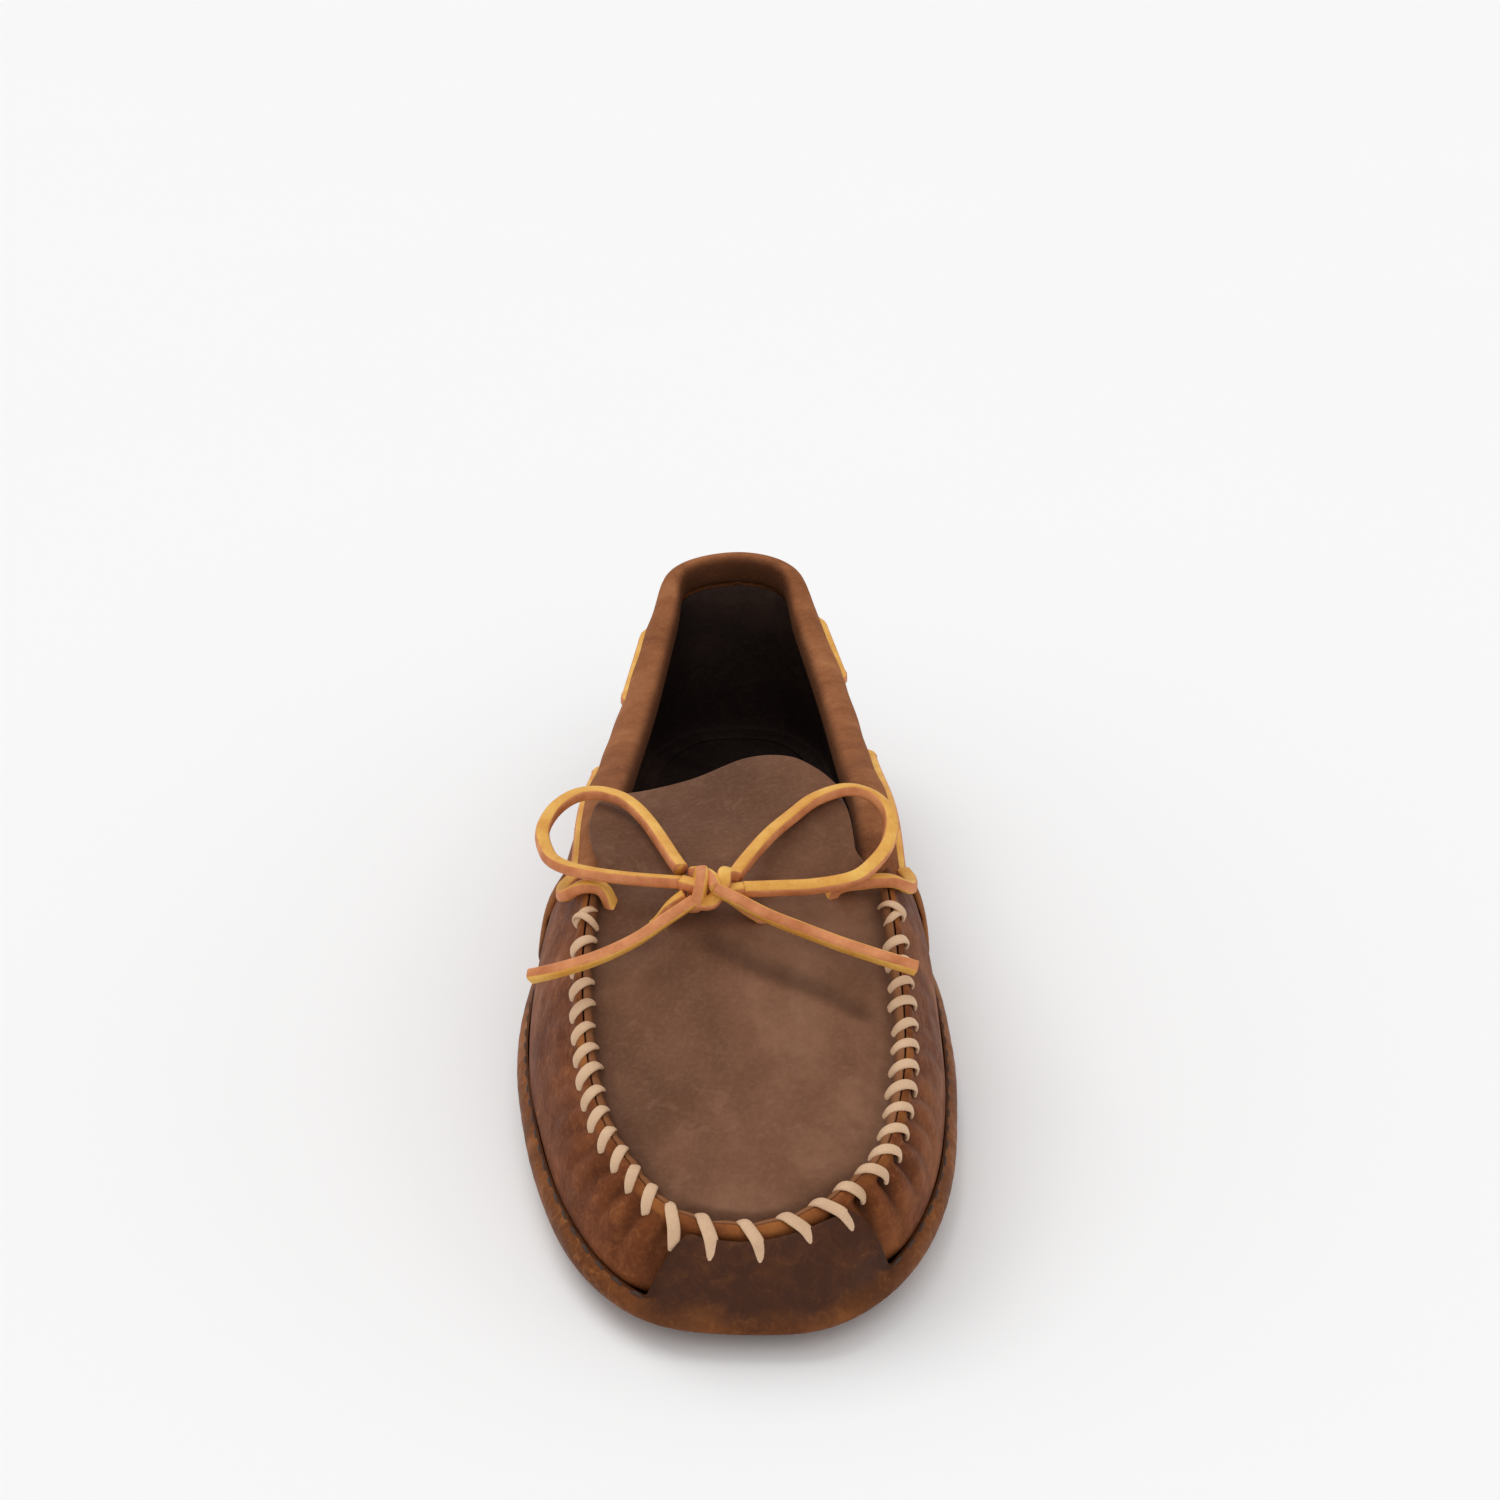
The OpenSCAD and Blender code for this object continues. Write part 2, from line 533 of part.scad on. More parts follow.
module lace_loop_medial() {
    color([0.85, 0.62, 0.26]) tube(behind_fold(dense(LOOP_MEDIAL, 2)), lace_d);
}

// The two ends of a loop between the knot and the fold
module loop_root(route) {
    points = dense(route, 3);
    half = len(points) / 2;
    tube([for (i = [0:half]) if (points[i].y < FOLD_FRONT) points[i]], lace_d);
    tube([for (i = [half:len(points) - 1]) if (points[i].y < FOLD_FRONT) points[i]], lace_d);
}

module lace_loop_root_lateral() {
    color([0.85, 0.62, 0.26]) loop_root(LOOP_LATERAL);
}

module lace_loop_root_medial() {
    color([0.85, 0.62, 0.26]) loop_root(LOOP_MEDIAL);
}

module lace_tail_lateral() {
    color([0.82, 0.52, 0.3]) tube(dense(TAIL_LATERAL, 2), lace_d);
}

module lace_tail_medial() {
    color([0.82, 0.52, 0.3]) tube(dense(TAIL_MEDIAL, 2), lace_d);
}

outsole();
sole_pad();
vamp();
quarter_lateral();
quarter_medial();
heel_counter();
quarter_lining();
insole();
sock_liner();
collar();
back_stay();
apron();
tongue();
apron_stitches();
tie_off_lateral();
tie_off_medial();
sole_seam_thread();
collar_thread();
collar_lace();
lace_lead_lateral();
lace_lead_medial();
lace_knot();
lace_loop_root_lateral();
lace_loop_root_medial();
lace_loop_lateral();
lace_loop_medial();
lace_tail_lateral();
lace_tail_medial();
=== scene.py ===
import math
import bpy
import bmesh
import numpy as np
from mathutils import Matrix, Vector


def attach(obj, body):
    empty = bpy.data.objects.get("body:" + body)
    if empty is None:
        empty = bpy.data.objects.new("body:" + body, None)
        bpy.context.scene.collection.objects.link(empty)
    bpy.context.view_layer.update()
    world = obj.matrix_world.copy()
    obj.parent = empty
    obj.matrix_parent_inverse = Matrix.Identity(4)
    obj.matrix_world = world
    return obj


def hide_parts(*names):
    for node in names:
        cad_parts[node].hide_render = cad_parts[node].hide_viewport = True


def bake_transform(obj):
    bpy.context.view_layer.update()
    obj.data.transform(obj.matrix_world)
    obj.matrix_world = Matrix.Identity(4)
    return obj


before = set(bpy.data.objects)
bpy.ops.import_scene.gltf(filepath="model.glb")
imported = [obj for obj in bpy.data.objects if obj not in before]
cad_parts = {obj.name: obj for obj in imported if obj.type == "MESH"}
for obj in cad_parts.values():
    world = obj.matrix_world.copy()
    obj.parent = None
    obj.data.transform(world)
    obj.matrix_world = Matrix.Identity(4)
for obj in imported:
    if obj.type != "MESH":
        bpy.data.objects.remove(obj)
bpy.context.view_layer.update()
scene = bpy.context.scene

# Everything below is worked out in millimetres and made in metres.
MM = 0.001

# -------- camera

CAMERA_AT = (1.5, -508.8, 318.0)
CAMERA_AIM = (0.0051, 0.8992, -0.4376)
CAMERA_LENS = 54.9
SENSOR = 36.0


def place(name, data):
    item = bpy.data.objects.new(name, data)
    scene.collection.objects.link(item)
    return item


def make_camera():
    data = bpy.data.cameras.new("camera")
    data.lens = CAMERA_LENS
    data.sensor_width = SENSOR
    data.clip_start = 0.01
    camera = place("camera", data)
    camera.location = Vector(CAMERA_AT) * MM
    camera.rotation_euler = Vector(CAMERA_AIM).to_track_quat("-Z", "Y").to_euler()
    scene.camera = camera


make_camera()

# -------- the shoe's lines

# The sole rim and, point for point above it, the apron seam and topline, round from the middle of the toe
RIM = np.array([
    [4.5, -141, 9], [-13.5, -139, 9.5], [-25.5, -131, 10], [-35.5, -116, 11], [-43.5, -94, 11.5],
    [-49.5, -66, 12], [-52.5, -38, 12], [-51, -8, 12], [-45.5, 22, 12], [-40.5, 56, 12],
    [-37.5, 90, 12], [-31.5, 118, 12], [-17.5, 136, 12], [1.5, 141, 12], [20.5, 136, 12],
    [33.5, 118, 12], [38.5, 90, 12], [39.5, 56, 12], [44.5, 22, 12], [51.6, -8, 12],
    [53.5, -38, 12], [52.4, -66, 12], [48.8, -94, 11.5], [41.8, -115.6, 11], [31.8, -130.8, 10],
    [19.5, -139.5, 9.5]], float)
EDGE = np.array([
    [2.5, -133.5, 24], [-8.5, -131.5, 24.5], [-16.5, -127, 26], [-23.5, -117.5, 29],
    [-30.2, -104, 32.5], [-34.3, -84, 38.5], [-35.8, -62, 47], [-34.8, -38, 55], [-35, -2, 58],
    [-32.5, 36, 53], [-28, 76, 53], [-22.5, 113, 60.5], [-17.8, 133.5, 67], [1.5, 139.5, 69.5],
    [18.5, 133.5, 67], [24, 113, 60], [31, 76, 53], [35, 36, 53], [37.5, -2, 58], [38, -38, 55],
    [39.5, -60, 47.5], [40, -84, 40], [38, -102, 35], [33.5, -117, 31], [25, -126, 27.5],
    [13.5, -131.5, 25]], float)
STATIONS = len(RIM)
HEEL = 13
SEAM_LATERAL = 7.06
SEAM_MEDIAL = 18.9
APRON_END = 6.78
UP = np.array([0.0, 0.0, 1.0])

# Layers, as in the CAD model
SOLE_T = 2.5
PAD_Z = 2.6
WRAP_Z = 5.7
SOCK_Z = 11.0
UPPER_T = 2.0
LINING_T = 1.2
COLLAR_W = 7.5
COLLAR_H = 9.0
LACE_W = 3.4
LACE_T = 2.9


def spline(before, here, after, beyond, t):
    return 0.5 * (2 * here + (after - before) * t + (2 * before - 5 * here + 4 * after - beyond) * t ** 2
                  + (3 * here - before - 3 * after + beyond) * t ** 3)


def ring_at(points, s):
    """Points of a closed line at stations s."""
    s = np.asarray(s, float)
    n = len(points)
    i = np.floor(s).astype(int)
    t = (s - i)[..., None]
    return spline(points[(i - 1) % n], points[i % n], points[(i + 1) % n], points[(i + 2) % n], t)


def line_at(points, s):
    """Points of an open line at s, from 0 at its first point."""
    s = np.asarray(s, float)
    last = len(points) - 1
    i = np.clip(np.floor(s).astype(int), 0, last - 1)
    t = (s - i)[..., None]
    return spline(points[np.maximum(i - 1, 0)], points[i], points[i + 1],
                  points[np.minimum(i + 2, last)], t)


def unit(v):
    return v / np.maximum(np.linalg.norm(v, axis=-1, keepdims=True), 1e-9)


def smooth(t):
    t = np.clip(t, 0, 1)
    return t * t * (3 - 2 * t)


def mix(a, b, t):
    return a + (b - a) * t


def outward(points, s):
    s = np.asarray(s, float)
    t = ring_at(points, s + 0.05) - ring_at(points, s - 0.05)
    return unit(np.stack([-t[..., 1], t[..., 0], 0 * t[..., 0]], -1))


def edge_out(s):
    return outward(EDGE, s)


def edge_along(s):
    return unit(ring_at(EDGE, s + 0.1) - ring_at(EDGE, s - 0.1))


def inset(s, d, z):
    """The rim moved inwards by d, at height z."""
    s, d, z = np.broadcast_arrays(np.asarray(s, float), d, z)
    p = ring_at(RIM, s) - outward(RIM, s) * d[..., None]
    p[..., 2] = z
    return p


def rim_z(s):
    return ring_at(RIM, s)[..., 2]


def side(s, v):
    """The side of the upper: v runs from 0 at the rim's valley to 1 at the apron seam or topline."""
    s, v = np.broadcast_arrays(np.asarray(s, float), v)
    v = v[..., None]
    low = inset(s, 3.0, rim_z(s) + 0.5)
    top = ring_at(EDGE, s)
    middle = low + (top - low) * np.array([0.15, 0.15, 0.7])
    return mix(mix(low, middle, v), mix(middle, top, v), v)


def side_out(s, v):
    s, v = np.broadcast_arrays(np.asarray(s, float), v)
    rise = side(s, np.minimum(v + 0.02, 1)) - side(s, np.maximum(v - 0.02, 0))
    return unit(np.cross(rise, side(s + 0.05, v) - side(s - 0.05, v)))


def skin(s, v, d):
    """The side's surface moved outwards by d."""
    s, v, d = np.broadcast_arrays(np.asarray(s, float), v, d)
    return side(s, v) + side_out(s, v) * d[..., None]


def below_top(s, drop):
    """Share of the side's height that lies drop below its top."""
    low = rim_z(s) + 0.5
    q = 1 - drop / (ring_at(EDGE, s)[..., 2] - low)
    return (1.4 - np.sqrt(1.96 - 1.6 * q)) / 0.8


def from_toe(s):
    """Stations from the middle of the toe, minus on the inner side."""
    s = np.asarray(s, float)
    return (s + STATIONS / 2) % STATIONS - STATIONS / 2


# -------- stitches along the apron seam

STITCH_FROM = 6.12
STITCH_COUNT = 31


def seam_table():
    a = np.linspace(-STITCH_FROM - 0.6, STITCH_FROM + 0.6, 800)
    gap = 1 + 0.7 * np.exp(-((a + 0.2) / 1.4) ** 2)
    steps_long = np.linalg.norm(np.diff(ring_at(EDGE, a), axis=0), axis=1) / (gap[1:] + gap[:-1]) * 2
    length = np.concatenate([[0], np.cumsum(steps_long)])
    start = np.interp(-STITCH_FROM, a, length)
    end = np.interp(STITCH_FROM, a, length)
    return a, (length - start) / (end - start) * (STITCH_COUNT - 1)


SEAM_A, SEAM_PHASE = seam_table()


def stitch_phase(a):
    """Counts stitches along the seam: whole numbers are stitches."""
    return np.interp(a, SEAM_A, SEAM_PHASE)


def between_stitches(a):
    """0 at a stitch and 1 half way between two."""
    inside = smooth((APRON_END + 0.1 - np.abs(a)) / 0.3)
    return np.abs(np.sin(np.pi * stitch_phase(a))) * inside


# Depth of the gathers below the seam, by station from the toe: deepest at the inner toe corner
GATHER_A = [-6.6, -5.4, -4.4, -3.4, -2.6, -1.9, -1.2, 0.8, 1.5, 2.4, 3.4, 4.6, 6.6]
GATHER_D = [0.3, 0.8, 1.8, 3.4, 4.2, 2.6, 0.0, 0.0, 1.4, 2.3, 1.7, 0.8, 0.3]


def gather(s, v):
    """Outward shift of the vamp where it is gathered into the seam."""
    a = from_toe(s)
    depth = np.interp(a, GATHER_A, GATHER_D)
    phase = stitch_phase(a)
    fold = np.floor(phase)
    start = 0.12 + 0.3 * (np.sin(fold * 2.4 + 1.0) * 0.5 + 0.5)
    reach = smooth((v - start) / (1.0 - start)) ** 0.8
    round_top = np.abs(np.sin(np.pi * (phase + 0.12 * (1 - v)))) ** 0.75
    return depth * reach * (round_top - 0.72)


def ripple(p, size, height):
    """Slow irregular shift that keeps leather from looking machined."""
    x, y, z = p[..., 0] / size, p[..., 1] / size, p[..., 2] / size
    wave = (np.sin(x * 1.3 + np.sin(y * 0.9 + 1.7) * 1.4) + np.sin(y * 1.7 + np.sin(z * 1.1 + x * 0.7) * 1.2)
            + np.sin(z * 1.9 + np.sin(x * 1.2 - y * 0.6) * 1.1))
    return wave / 3 * height


# -------- mesh helpers


def make_piece(name, points, faces, fields=None):
    """An object from points in millimetres. fields holds values for each point, or one for all."""
    mesh = bpy.data.meshes.new(name)
    points = np.asarray(points, float)
    mesh.from_pydata((points.reshape(-1, 3) * MM).tolist(), [], faces)
    for field, values in (fields or {}).items():
        layer = mesh.attributes.new(field, "FLOAT", "POINT")
        layer.data.foreach_set("value", np.broadcast_to(values, points.shape[:-1]).astype(np.float32).ravel())
    mesh.update()
    return place(name, mesh)


def shade(piece):
    piece.data.polygons.foreach_set("use_smooth", [True] * len(piece.data.polygons))
    piece.data.update()
    return piece


def face_outwards(piece):
    shape = bmesh.new()
    shape.from_mesh(piece.data)
    bmesh.ops.remove_doubles(shape, verts=shape.verts, dist=0.00001)
    bmesh.ops.recalc_face_normals(shape, faces=shape.faces)
    shape.to_mesh(piece.data)
    shape.free()
    return piece


def bake(piece):
    """Applies the piece's modifiers."""
    graph = bpy.context.evaluated_depsgraph_get()
    result = bpy.data.meshes.new_from_object(piece.evaluated_get(graph), depsgraph=graph)
    piece.modifiers.clear()
    old = piece.data
    piece.data = result
    bpy.data.meshes.remove(old)
    result.name = piece.name
    return piece


def rounded(piece):
    subdivide = piece.modifiers.new("round", "SUBSURF")
    subdivide.levels = subdivide.render_levels = 1
    return shade(bake(piece))


def grid_faces(n, m, around=False, across=False):
    rows = n if around else n - 1
    cols = m if across else m - 1
    return [(i * m + j, ((i + 1) % n) * m + j, ((i + 1) % n) * m + (j + 1) % m, i * m + (j + 1) % m)
            for i in range(rows) for j in range(cols)]


def tube(name, grid, fields=None):
    """Closed rings of points (the second axis of grid) joined in order, with both ends capped."""
    n, m = np.shape(grid)[:2]
    ends = [tuple(range(m)), tuple((n - 1) * m + j for j in reversed(range(m)))]
    return face_outwards(make_piece(name, grid, grid_faces(n, m, across=True) + ends, fields))


def loft(name, grid, fields):
    return rounded(tube(name, grid, fields))


def cup(name, grid, fields):
    """Open profiles round the whole shoe. Each end of the profile is closed by strips across the shoe."""
    n, m = grid.shape[:2]
    faces = grid_faces(n, m, around=True)
    for j in (0, m - 1):
        for i in range(n // 2):
            across = [i, i + 1, n - i - 1, (n - i) % n]
            faces.append(tuple(k * m + j for k in dict.fromkeys(across)))
    return rounded(face_outwards(make_piece(name, grid, faces, fields)))


def rows(*profile):
    """Stacks arrays of points, one for each place on the profile, into a grid."""
    return np.stack(profile, 1)


# -------- materials


def srgb(r, g, b):
    """A colour given as 0 to 255 display values."""
    return tuple(((c / 255 + 0.055) / 1.055) ** 2.4 if c > 10 else c / 255 / 12.92 for c in (r, g, b)) + (1.0,)


def feed(tree, node, inputs):
    """Sets a node's inputs, by name or place, to values or to the outputs of other nodes."""
    for key, value in inputs.items():
        if isinstance(value, bpy.types.NodeSocket):
            tree.links.new(value, node.inputs[key])
        else:
            node.inputs[key].default_value = value
    return node


def add(tree, kind, settings=None, *values, **named):
    """A new node. values feed its first inputs in order, and named ones have _ for a space."""
    node = tree.nodes.new(kind)
    for key, value in (settings or {}).items():
        setattr(node, key, value)
    feed(tree, node, dict(enumerate(values)))
    return feed(tree, node, {key.replace("_", " "): value for key, value in named.items()})


def calc(tree, operation, *values, clamp=False):
    return add(tree, "ShaderNodeMath", {"operation": operation, "use_clamp": clamp}, *values).outputs[0]


def mix_colour(tree, factor, a, b):
    node = add(tree, "ShaderNodeMix", {"data_type": "RGBA"}, factor)
    return feed(tree, node, {6: a, 7: b}).outputs[2]


def noise(tree, where, scale, detail=3.0, roughness=0.55, distortion=0.0):
    return add(tree, "ShaderNodeTexNoise", Vector=where, Scale=scale, Detail=detail, Roughness=roughness,
               Distortion=distortion).outputs["Fac"]


def spread(tree, value, low, high, to_low=0.0, to_high=1.0):
    return add(tree, "ShaderNodeMapRange", Value=value, From_Min=low, From_Max=high, To_Min=to_low,
               To_Max=to_high).outputs["Result"]


def cells(tree, where, scale):
    return add(tree, "ShaderNodeTexVoronoi", {"feature": "F1"}, Vector=where, Scale=scale).outputs["Distance"]


def bumps(tree, strength, distance, height, **below):
    return add(tree, "ShaderNodeBump", Strength=strength, Distance=distance, Height=height,
               **below).outputs["Normal"]


def field(tree, name):
    return add(tree, "ShaderNodeAttribute", {"attribute_name": name}).outputs["Fac"]


def new_material(name):
    material = bpy.data.materials.new(name)
    material.use_nodes = True
    tree = material.node_tree
    tree.nodes.clear()
    surface = add(tree, "ShaderNodeBsdfPrincipled")
    add(tree, "ShaderNodeOutputMaterial", Surface=surface.outputs["BSDF"])
    where = add(tree, "ShaderNodeTexCoord").outputs["Object"]
    return material, tree, surface, where


def leather(name, dark, base, light, edge, rough=(0.5, 0.7), grain=900.0, bump=0.25, nap=0.0, clouds=26.0,
            scuffs=0.35):
    """Leather with slow clouds of colour, small mottles, creases and a fine grain.
    The piece's fields colour it: fold paints shade into gathers, creases, recesses and inner faces; the other field
    mixes in the edge colour, burnished or raw edges on the vamp, apron, quarters and back stay, and painted shade on
    the bottom and the collar."""
    material, tree, surface, where = new_material(name)
    cloud = noise(tree, where, clouds, 4.0, 0.6, 0.6)
    mottle = noise(tree, where, clouds * 5, 5.0, 0.65)
    fine = noise(tree, where, grain, 3.0, 0.6)
    scuff = noise(tree, where, clouds * 9, 6.0, 0.7, 0.8)
    colour = mix_colour(tree, spread(tree, cloud, 0.32, 0.55), dark, base)
    for pattern, low, high, most, other in ((cloud, 0.52, 0.75, 0.8, light), (mottle, 0.35, 0.7, 0.55, dark),
                                            (scuff, 0.54, 0.74, scuffs, light), (fine, 0.45, 0.75, 0.22, light)):
        colour = mix_colour(tree, spread(tree, pattern, low, high, 0.0, most), colour, other)
    # Edge colour: lighter burnished edges on some leathers, painted shade on the bottom and the collar
    wear_and_shade_amount = calc(tree, "MULTIPLY", field(tree, "wear"), spread(tree, scuff, 0.4, 0.75, 1.05, 0.72), clamp=True)
    colour = mix_colour(tree, wear_and_shade_amount, colour, edge)
    # Painted shade: the fold field darkens the colour towards a deep shade colour
    shadowed = calc(tree, "MULTIPLY", field(tree, "fold"), 0.8)
    colour = mix_colour(tree, shadowed, colour, tuple(c * 0.25 for c in dark[:3]) + (1.0,))
    height = calc(tree, "MULTIPLY_ADD", cells(tree, where, grain * 0.8), 0.5, fine)
    feed(tree, surface, {
        "Base Color": colour, "Roughness": spread(tree, mottle, 0.3, 0.7, *rough), "Specular IOR Level": 0.1,
        "Normal": bumps(tree, 0.35, 0.0012, mottle, Normal=bumps(tree, bump, 0.0004, height))})
    if nap:
        feed(tree, surface, {"Sheen Weight": nap, "Sheen Roughness": 0.5, "Sheen Tint": light})
    return material


def thread_material(name, base, dark, rough=0.6):
    """Flat waxed thread, with fine fibres and slow patches."""
    material, tree, surface, where = new_material(name)
    fibres = noise(tree, where, 2600.0, 4.0, 0.7)
    patches = noise(tree, where, 160.0)
    colour = mix_colour(tree, spread(tree, fibres, 0.3, 0.7, 0.0, 0.35), base, dark)
    colour = mix_colour(tree, spread(tree, patches, 0.45, 0.8, 0.0, 0.4), colour, dark)
    feed(tree, surface, {"Base Color": colour, "Roughness": rough, "Normal": bumps(tree, 0.4, 0.0003, fibres)})
    return material


def lace_material(name):
    """Rawhide lace: golden grain on two faces and orange flesh on the two cut sides, by its own section map."""
    material, tree, surface, where = new_material(name)
    section = add(tree, "ShaderNodeUVMap", {"uv_map": "section"}).outputs["UV"]
    round_it = add(tree, "ShaderNodeSeparateXYZ", Vector=section).outputs["X"]
    wander = calc(tree, "MULTIPLY_ADD", noise(tree, where, 260.0), 0.05, round_it)
    flesh = spread(tree, calc(tree, "PINGPONG", wander, 0.25), 0.115, 0.15)
    grain = noise(tree, where, 1400.0, 3.0, 0.6)
    gold = mix_colour(tree, spread(tree, noise(tree, where, 120.0), 0.35, 0.7), srgb(218, 152, 62),
                      srgb(238, 186, 92))
    raw = mix_colour(tree, spread(tree, noise(tree, where, 150.0, 4.0), 0.35, 0.7), srgb(190, 112, 66),
                     srgb(226, 150, 98))
    colour = mix_colour(tree, flesh, gold, raw)
    colour = mix_colour(tree, spread(tree, grain, 0.5, 0.8, 0.0, 0.3), colour, srgb(150, 96, 40))
    feed(tree, surface, {"Base Color": colour, "Roughness": 0.55, "Specular IOR Level": 0.3,
                         "Normal": bumps(tree, 0.3, 0.0003, grain)})
    return material


VAMP = leather("oiled_vamp_leather", srgb(80, 38, 19), srgb(126, 68, 33), srgb(168, 104, 56),
               srgb(168, 104, 50), rough=(0.5, 0.72), bump=0.25, scuffs=0.6)
APRON = leather("apron_nubuck", srgb(100, 66, 47), srgb(128, 88, 65), srgb(150, 110, 86),
                srgb(150, 94, 52), rough=(0.55, 0.75), bump=0.3, nap=0.08, clouds=20.0)
# The bottom's dark edge colour is painted shade on the toe tab, and also darkens the bottom towards the floor
BOTTOM = leather("burnished_bottom_leather", srgb(86, 45, 20), srgb(132, 76, 35), srgb(172, 108, 54),
                 srgb(70, 41, 28), rough=(0.4, 0.6), bump=0.25, clouds=34.0, scuffs=0.6)
# The collar's dark edge colour is painted shade on the roll's inner face and at its foot
COLLAR = leather("collar_suede", srgb(120, 70, 42), srgb(150, 94, 58), srgb(176, 118, 78),
                 srgb(96, 56, 36), rough=(0.75, 0.9), grain=1300.0, bump=0.5, nap=0.15, clouds=45.0)
# The lining's own dark brown, made darker still as painted shade inside the shoe
LINING = leather("dark_lining_leather", srgb(28, 20, 18), srgb(42, 30, 26), srgb(64, 46, 38),
                 srgb(50, 36, 30), rough=(0.6, 0.8), bump=0.2)
THREAD = thread_material("waxed_thread", srgb(222, 186, 150), srgb(176, 134, 98))
DARK_THREAD = thread_material("dark_thread", srgb(66, 42, 28), srgb(40, 26, 18), 0.7)
LACE = lace_material("rawhide")


def foam_material(name, base, shade_colour):
    material, tree, surface, where = new_material(name)
    bubbles = cells(tree, where, 1200.0)
    feed(tree, surface, {"Base Color": mix_colour(tree, bubbles, shade_colour, base), "Roughness": 0.9,
                         "Normal": bumps(tree, 0.5, 0.0004, bubbles)})
    return material


FOAM = foam_material("latex_foam", srgb(206, 196, 170), srgb(170, 158, 130))
BOARD = foam_material("counter_board", srgb(176, 150, 112), srgb(140, 116, 84))

# -------- finishing a piece


def dress(piece, material, slot_name, body, *nodes):
    piece.data.materials.clear()
    piece.data.materials.append(material)
    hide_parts(*nodes)
    if body:
        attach(piece, body)
    return piece


def add_layer(make, name, grid, wear, fold, material, slot_name, node):
    """A layer of leather on the shoe, made by loft or cup, with its shading fields."""
    dress(make(name, grid, {"wear": wear, "fold": fold}), material, slot_name, "shoe", node)


def steps(start, end, count):
    return np.linspace(start, end, round(count) + 1)


FINE = 1


# -------- laces

LEAD_LATERAL = [
    [-37.6, -33, 52.5], [-39.6, -38, 52.6], [-39, -43.6, 54], [-34.6, -45.4, 57.4], [-30, -46.2, 57],
    [-27, -48.6, 52.6], [-22, -53, 51.6], [-17.6, -56, 53.4], [-14, -57.2, 58.6], [-10.6, -57, 61.4]]
LEAD_MEDIAL = [
    [40.8, -31, 52.8], [42, -35.6, 53], [41.2, -41.4, 54.6], [37, -43.8, 57.8], [30, -45.6, 58.4],
    [24, -47, 57.6], [20.4, -49.6, 52.6], [12, -56, 51.8], [5.4, -58.6, 57.6], [0, -57.4, 61.4]]
LOOP_LATERAL = [
    [-11.8, -48.4, 63.5], [-13.6, -43.5, 63.5], [-15.7, -37.3, 63.5], [-19.6, -27.2, 64],
    [-23.4, -19.8, 64.5], [-27.3, -14.5, 64.5], [-33, -11.4, 64.4], [-38.6, -12.5, 64],
    [-43.1, -18, 63], [-45.2, -26.4, 62], [-44.1, -34, 61.2], [-41.3, -40.3, 61], [-35, -45.1, 61.2],
    [-24.1, -49.8, 62], [-11.6, -53.6, 63]]
LOOP_MEDIAL = [
    [0.6, -51.6, 63.5], [3.6, -45.4, 64.5], [8.6, -36.7, 66], [14.1, -30.1, 67.6], [19.7, -24.9, 69.4],
    [27.1, -20.2, 69.6], [32.9, -19.6, 68], [36.6, -22.7, 66], [37.7, -28.5, 64.4], [36.3, -36.6, 63.2],
    [32.6, -44.4, 62.5], [27.7, -50.4, 62], [18.9, -53.8, 62], [10.2, -55, 62.2], [2.6, -56, 62.5]]
TAIL_LATERAL = [
    [-8.8, -60.6, 62], [-15, -65.5, 60], [-21.6, -70, 57.5], [-29.9, -72.7, 54.6], [-38.7, -72.6, 51.4],
    [-45, -70.6, 48.6]]
TAIL_MEDIAL = [
    [-3.4, -60.6, 65], [2, -63.6, 63.6], [8.3, -66.5, 61.5], [16.7, -68.9, 59], [25.1, -71.4, 56.8],
    [33.7, -73.1, 54.5], [40.9, -73.3, 52]]

SECTION_SIDES = 16


def lace_section():
    """A square cord with rounded corners; the first quarter of its points faces up."""
    angle = (np.arange(SECTION_SIDES) + 0.5) / SECTION_SIDES * 2 * np.pi + np.pi / 4
    c, s = np.cos(angle), np.sin(angle)
    square = 0.55
    return np.stack([np.sign(c) * np.abs(c) ** square * LACE_W / 2, np.sign(s) * np.abs(s) ** square * LACE_T / 2], 1)


def smooth_route(route, per):
    route = np.array(route, float)
    return line_at(route, np.linspace(0, len(route) - 1, (len(route) - 1) * per + 1))


def lace_tube(name, route, per=8, turn=(0, 0), up=(0, 0, 1), closed=False):
    """A lace along route that turns about itself from turn[0] to turn[1], in degrees. Also gives its middle line."""
    line = smooth_route(route, per)
    n = len(line)
    direction = unit(np.gradient(line, axis=0))
    if closed:
        direction[0] = direction[-1] = unit(line[1] - line[-2])
    twist = np.radians(np.linspace(turn[0], turn[1], n))
    section = lace_section()
    rings = []
    wide = unit(np.cross(direction[0], up))
    for i in range(n):
        wide = unit(wide - direction[i] * np.dot(wide, direction[i]))
        level = unit(np.cross(direction[i], up))
        wide = unit(mix(wide, level, 0.25)) if np.dot(wide, level) > 0 else wide
        wide = unit(wide - direction[i] * np.dot(wide, direction[i]))
        high = np.cross(wide, direction[i])
        c, s = math.cos(twist[i]), math.sin(twist[i])
        rings.append(line[i] + section[:, :1] * (wide * c + high * s) + section[:, 1:] * (high * c - wide * s))
    piece = tube(name, rings)
    paint_section(piece, n, SECTION_SIDES)
    return shade(piece), line


def paint_section(piece, n, m):
    """Maps each face round the lace to 0..1, starting at the middle of the upper face."""
    layer = piece.data.uv_layers.new(name="section")
    for face in piece.data.polygons:
        places = [(piece.data.loops[k].vertex_index // m, piece.data.loops[k].vertex_index % m)
                  for k in face.loop_indices]
        wraps = len(face.vertices) == 4 and {0, m - 1} <= {j for _, j in places}
        for k, (i, j) in zip(face.loop_indices, places):
            if wraps and j == 0:
                j = m
            layer.data[k].uv = ((j + 0.5) / m - 0.125, i / n)


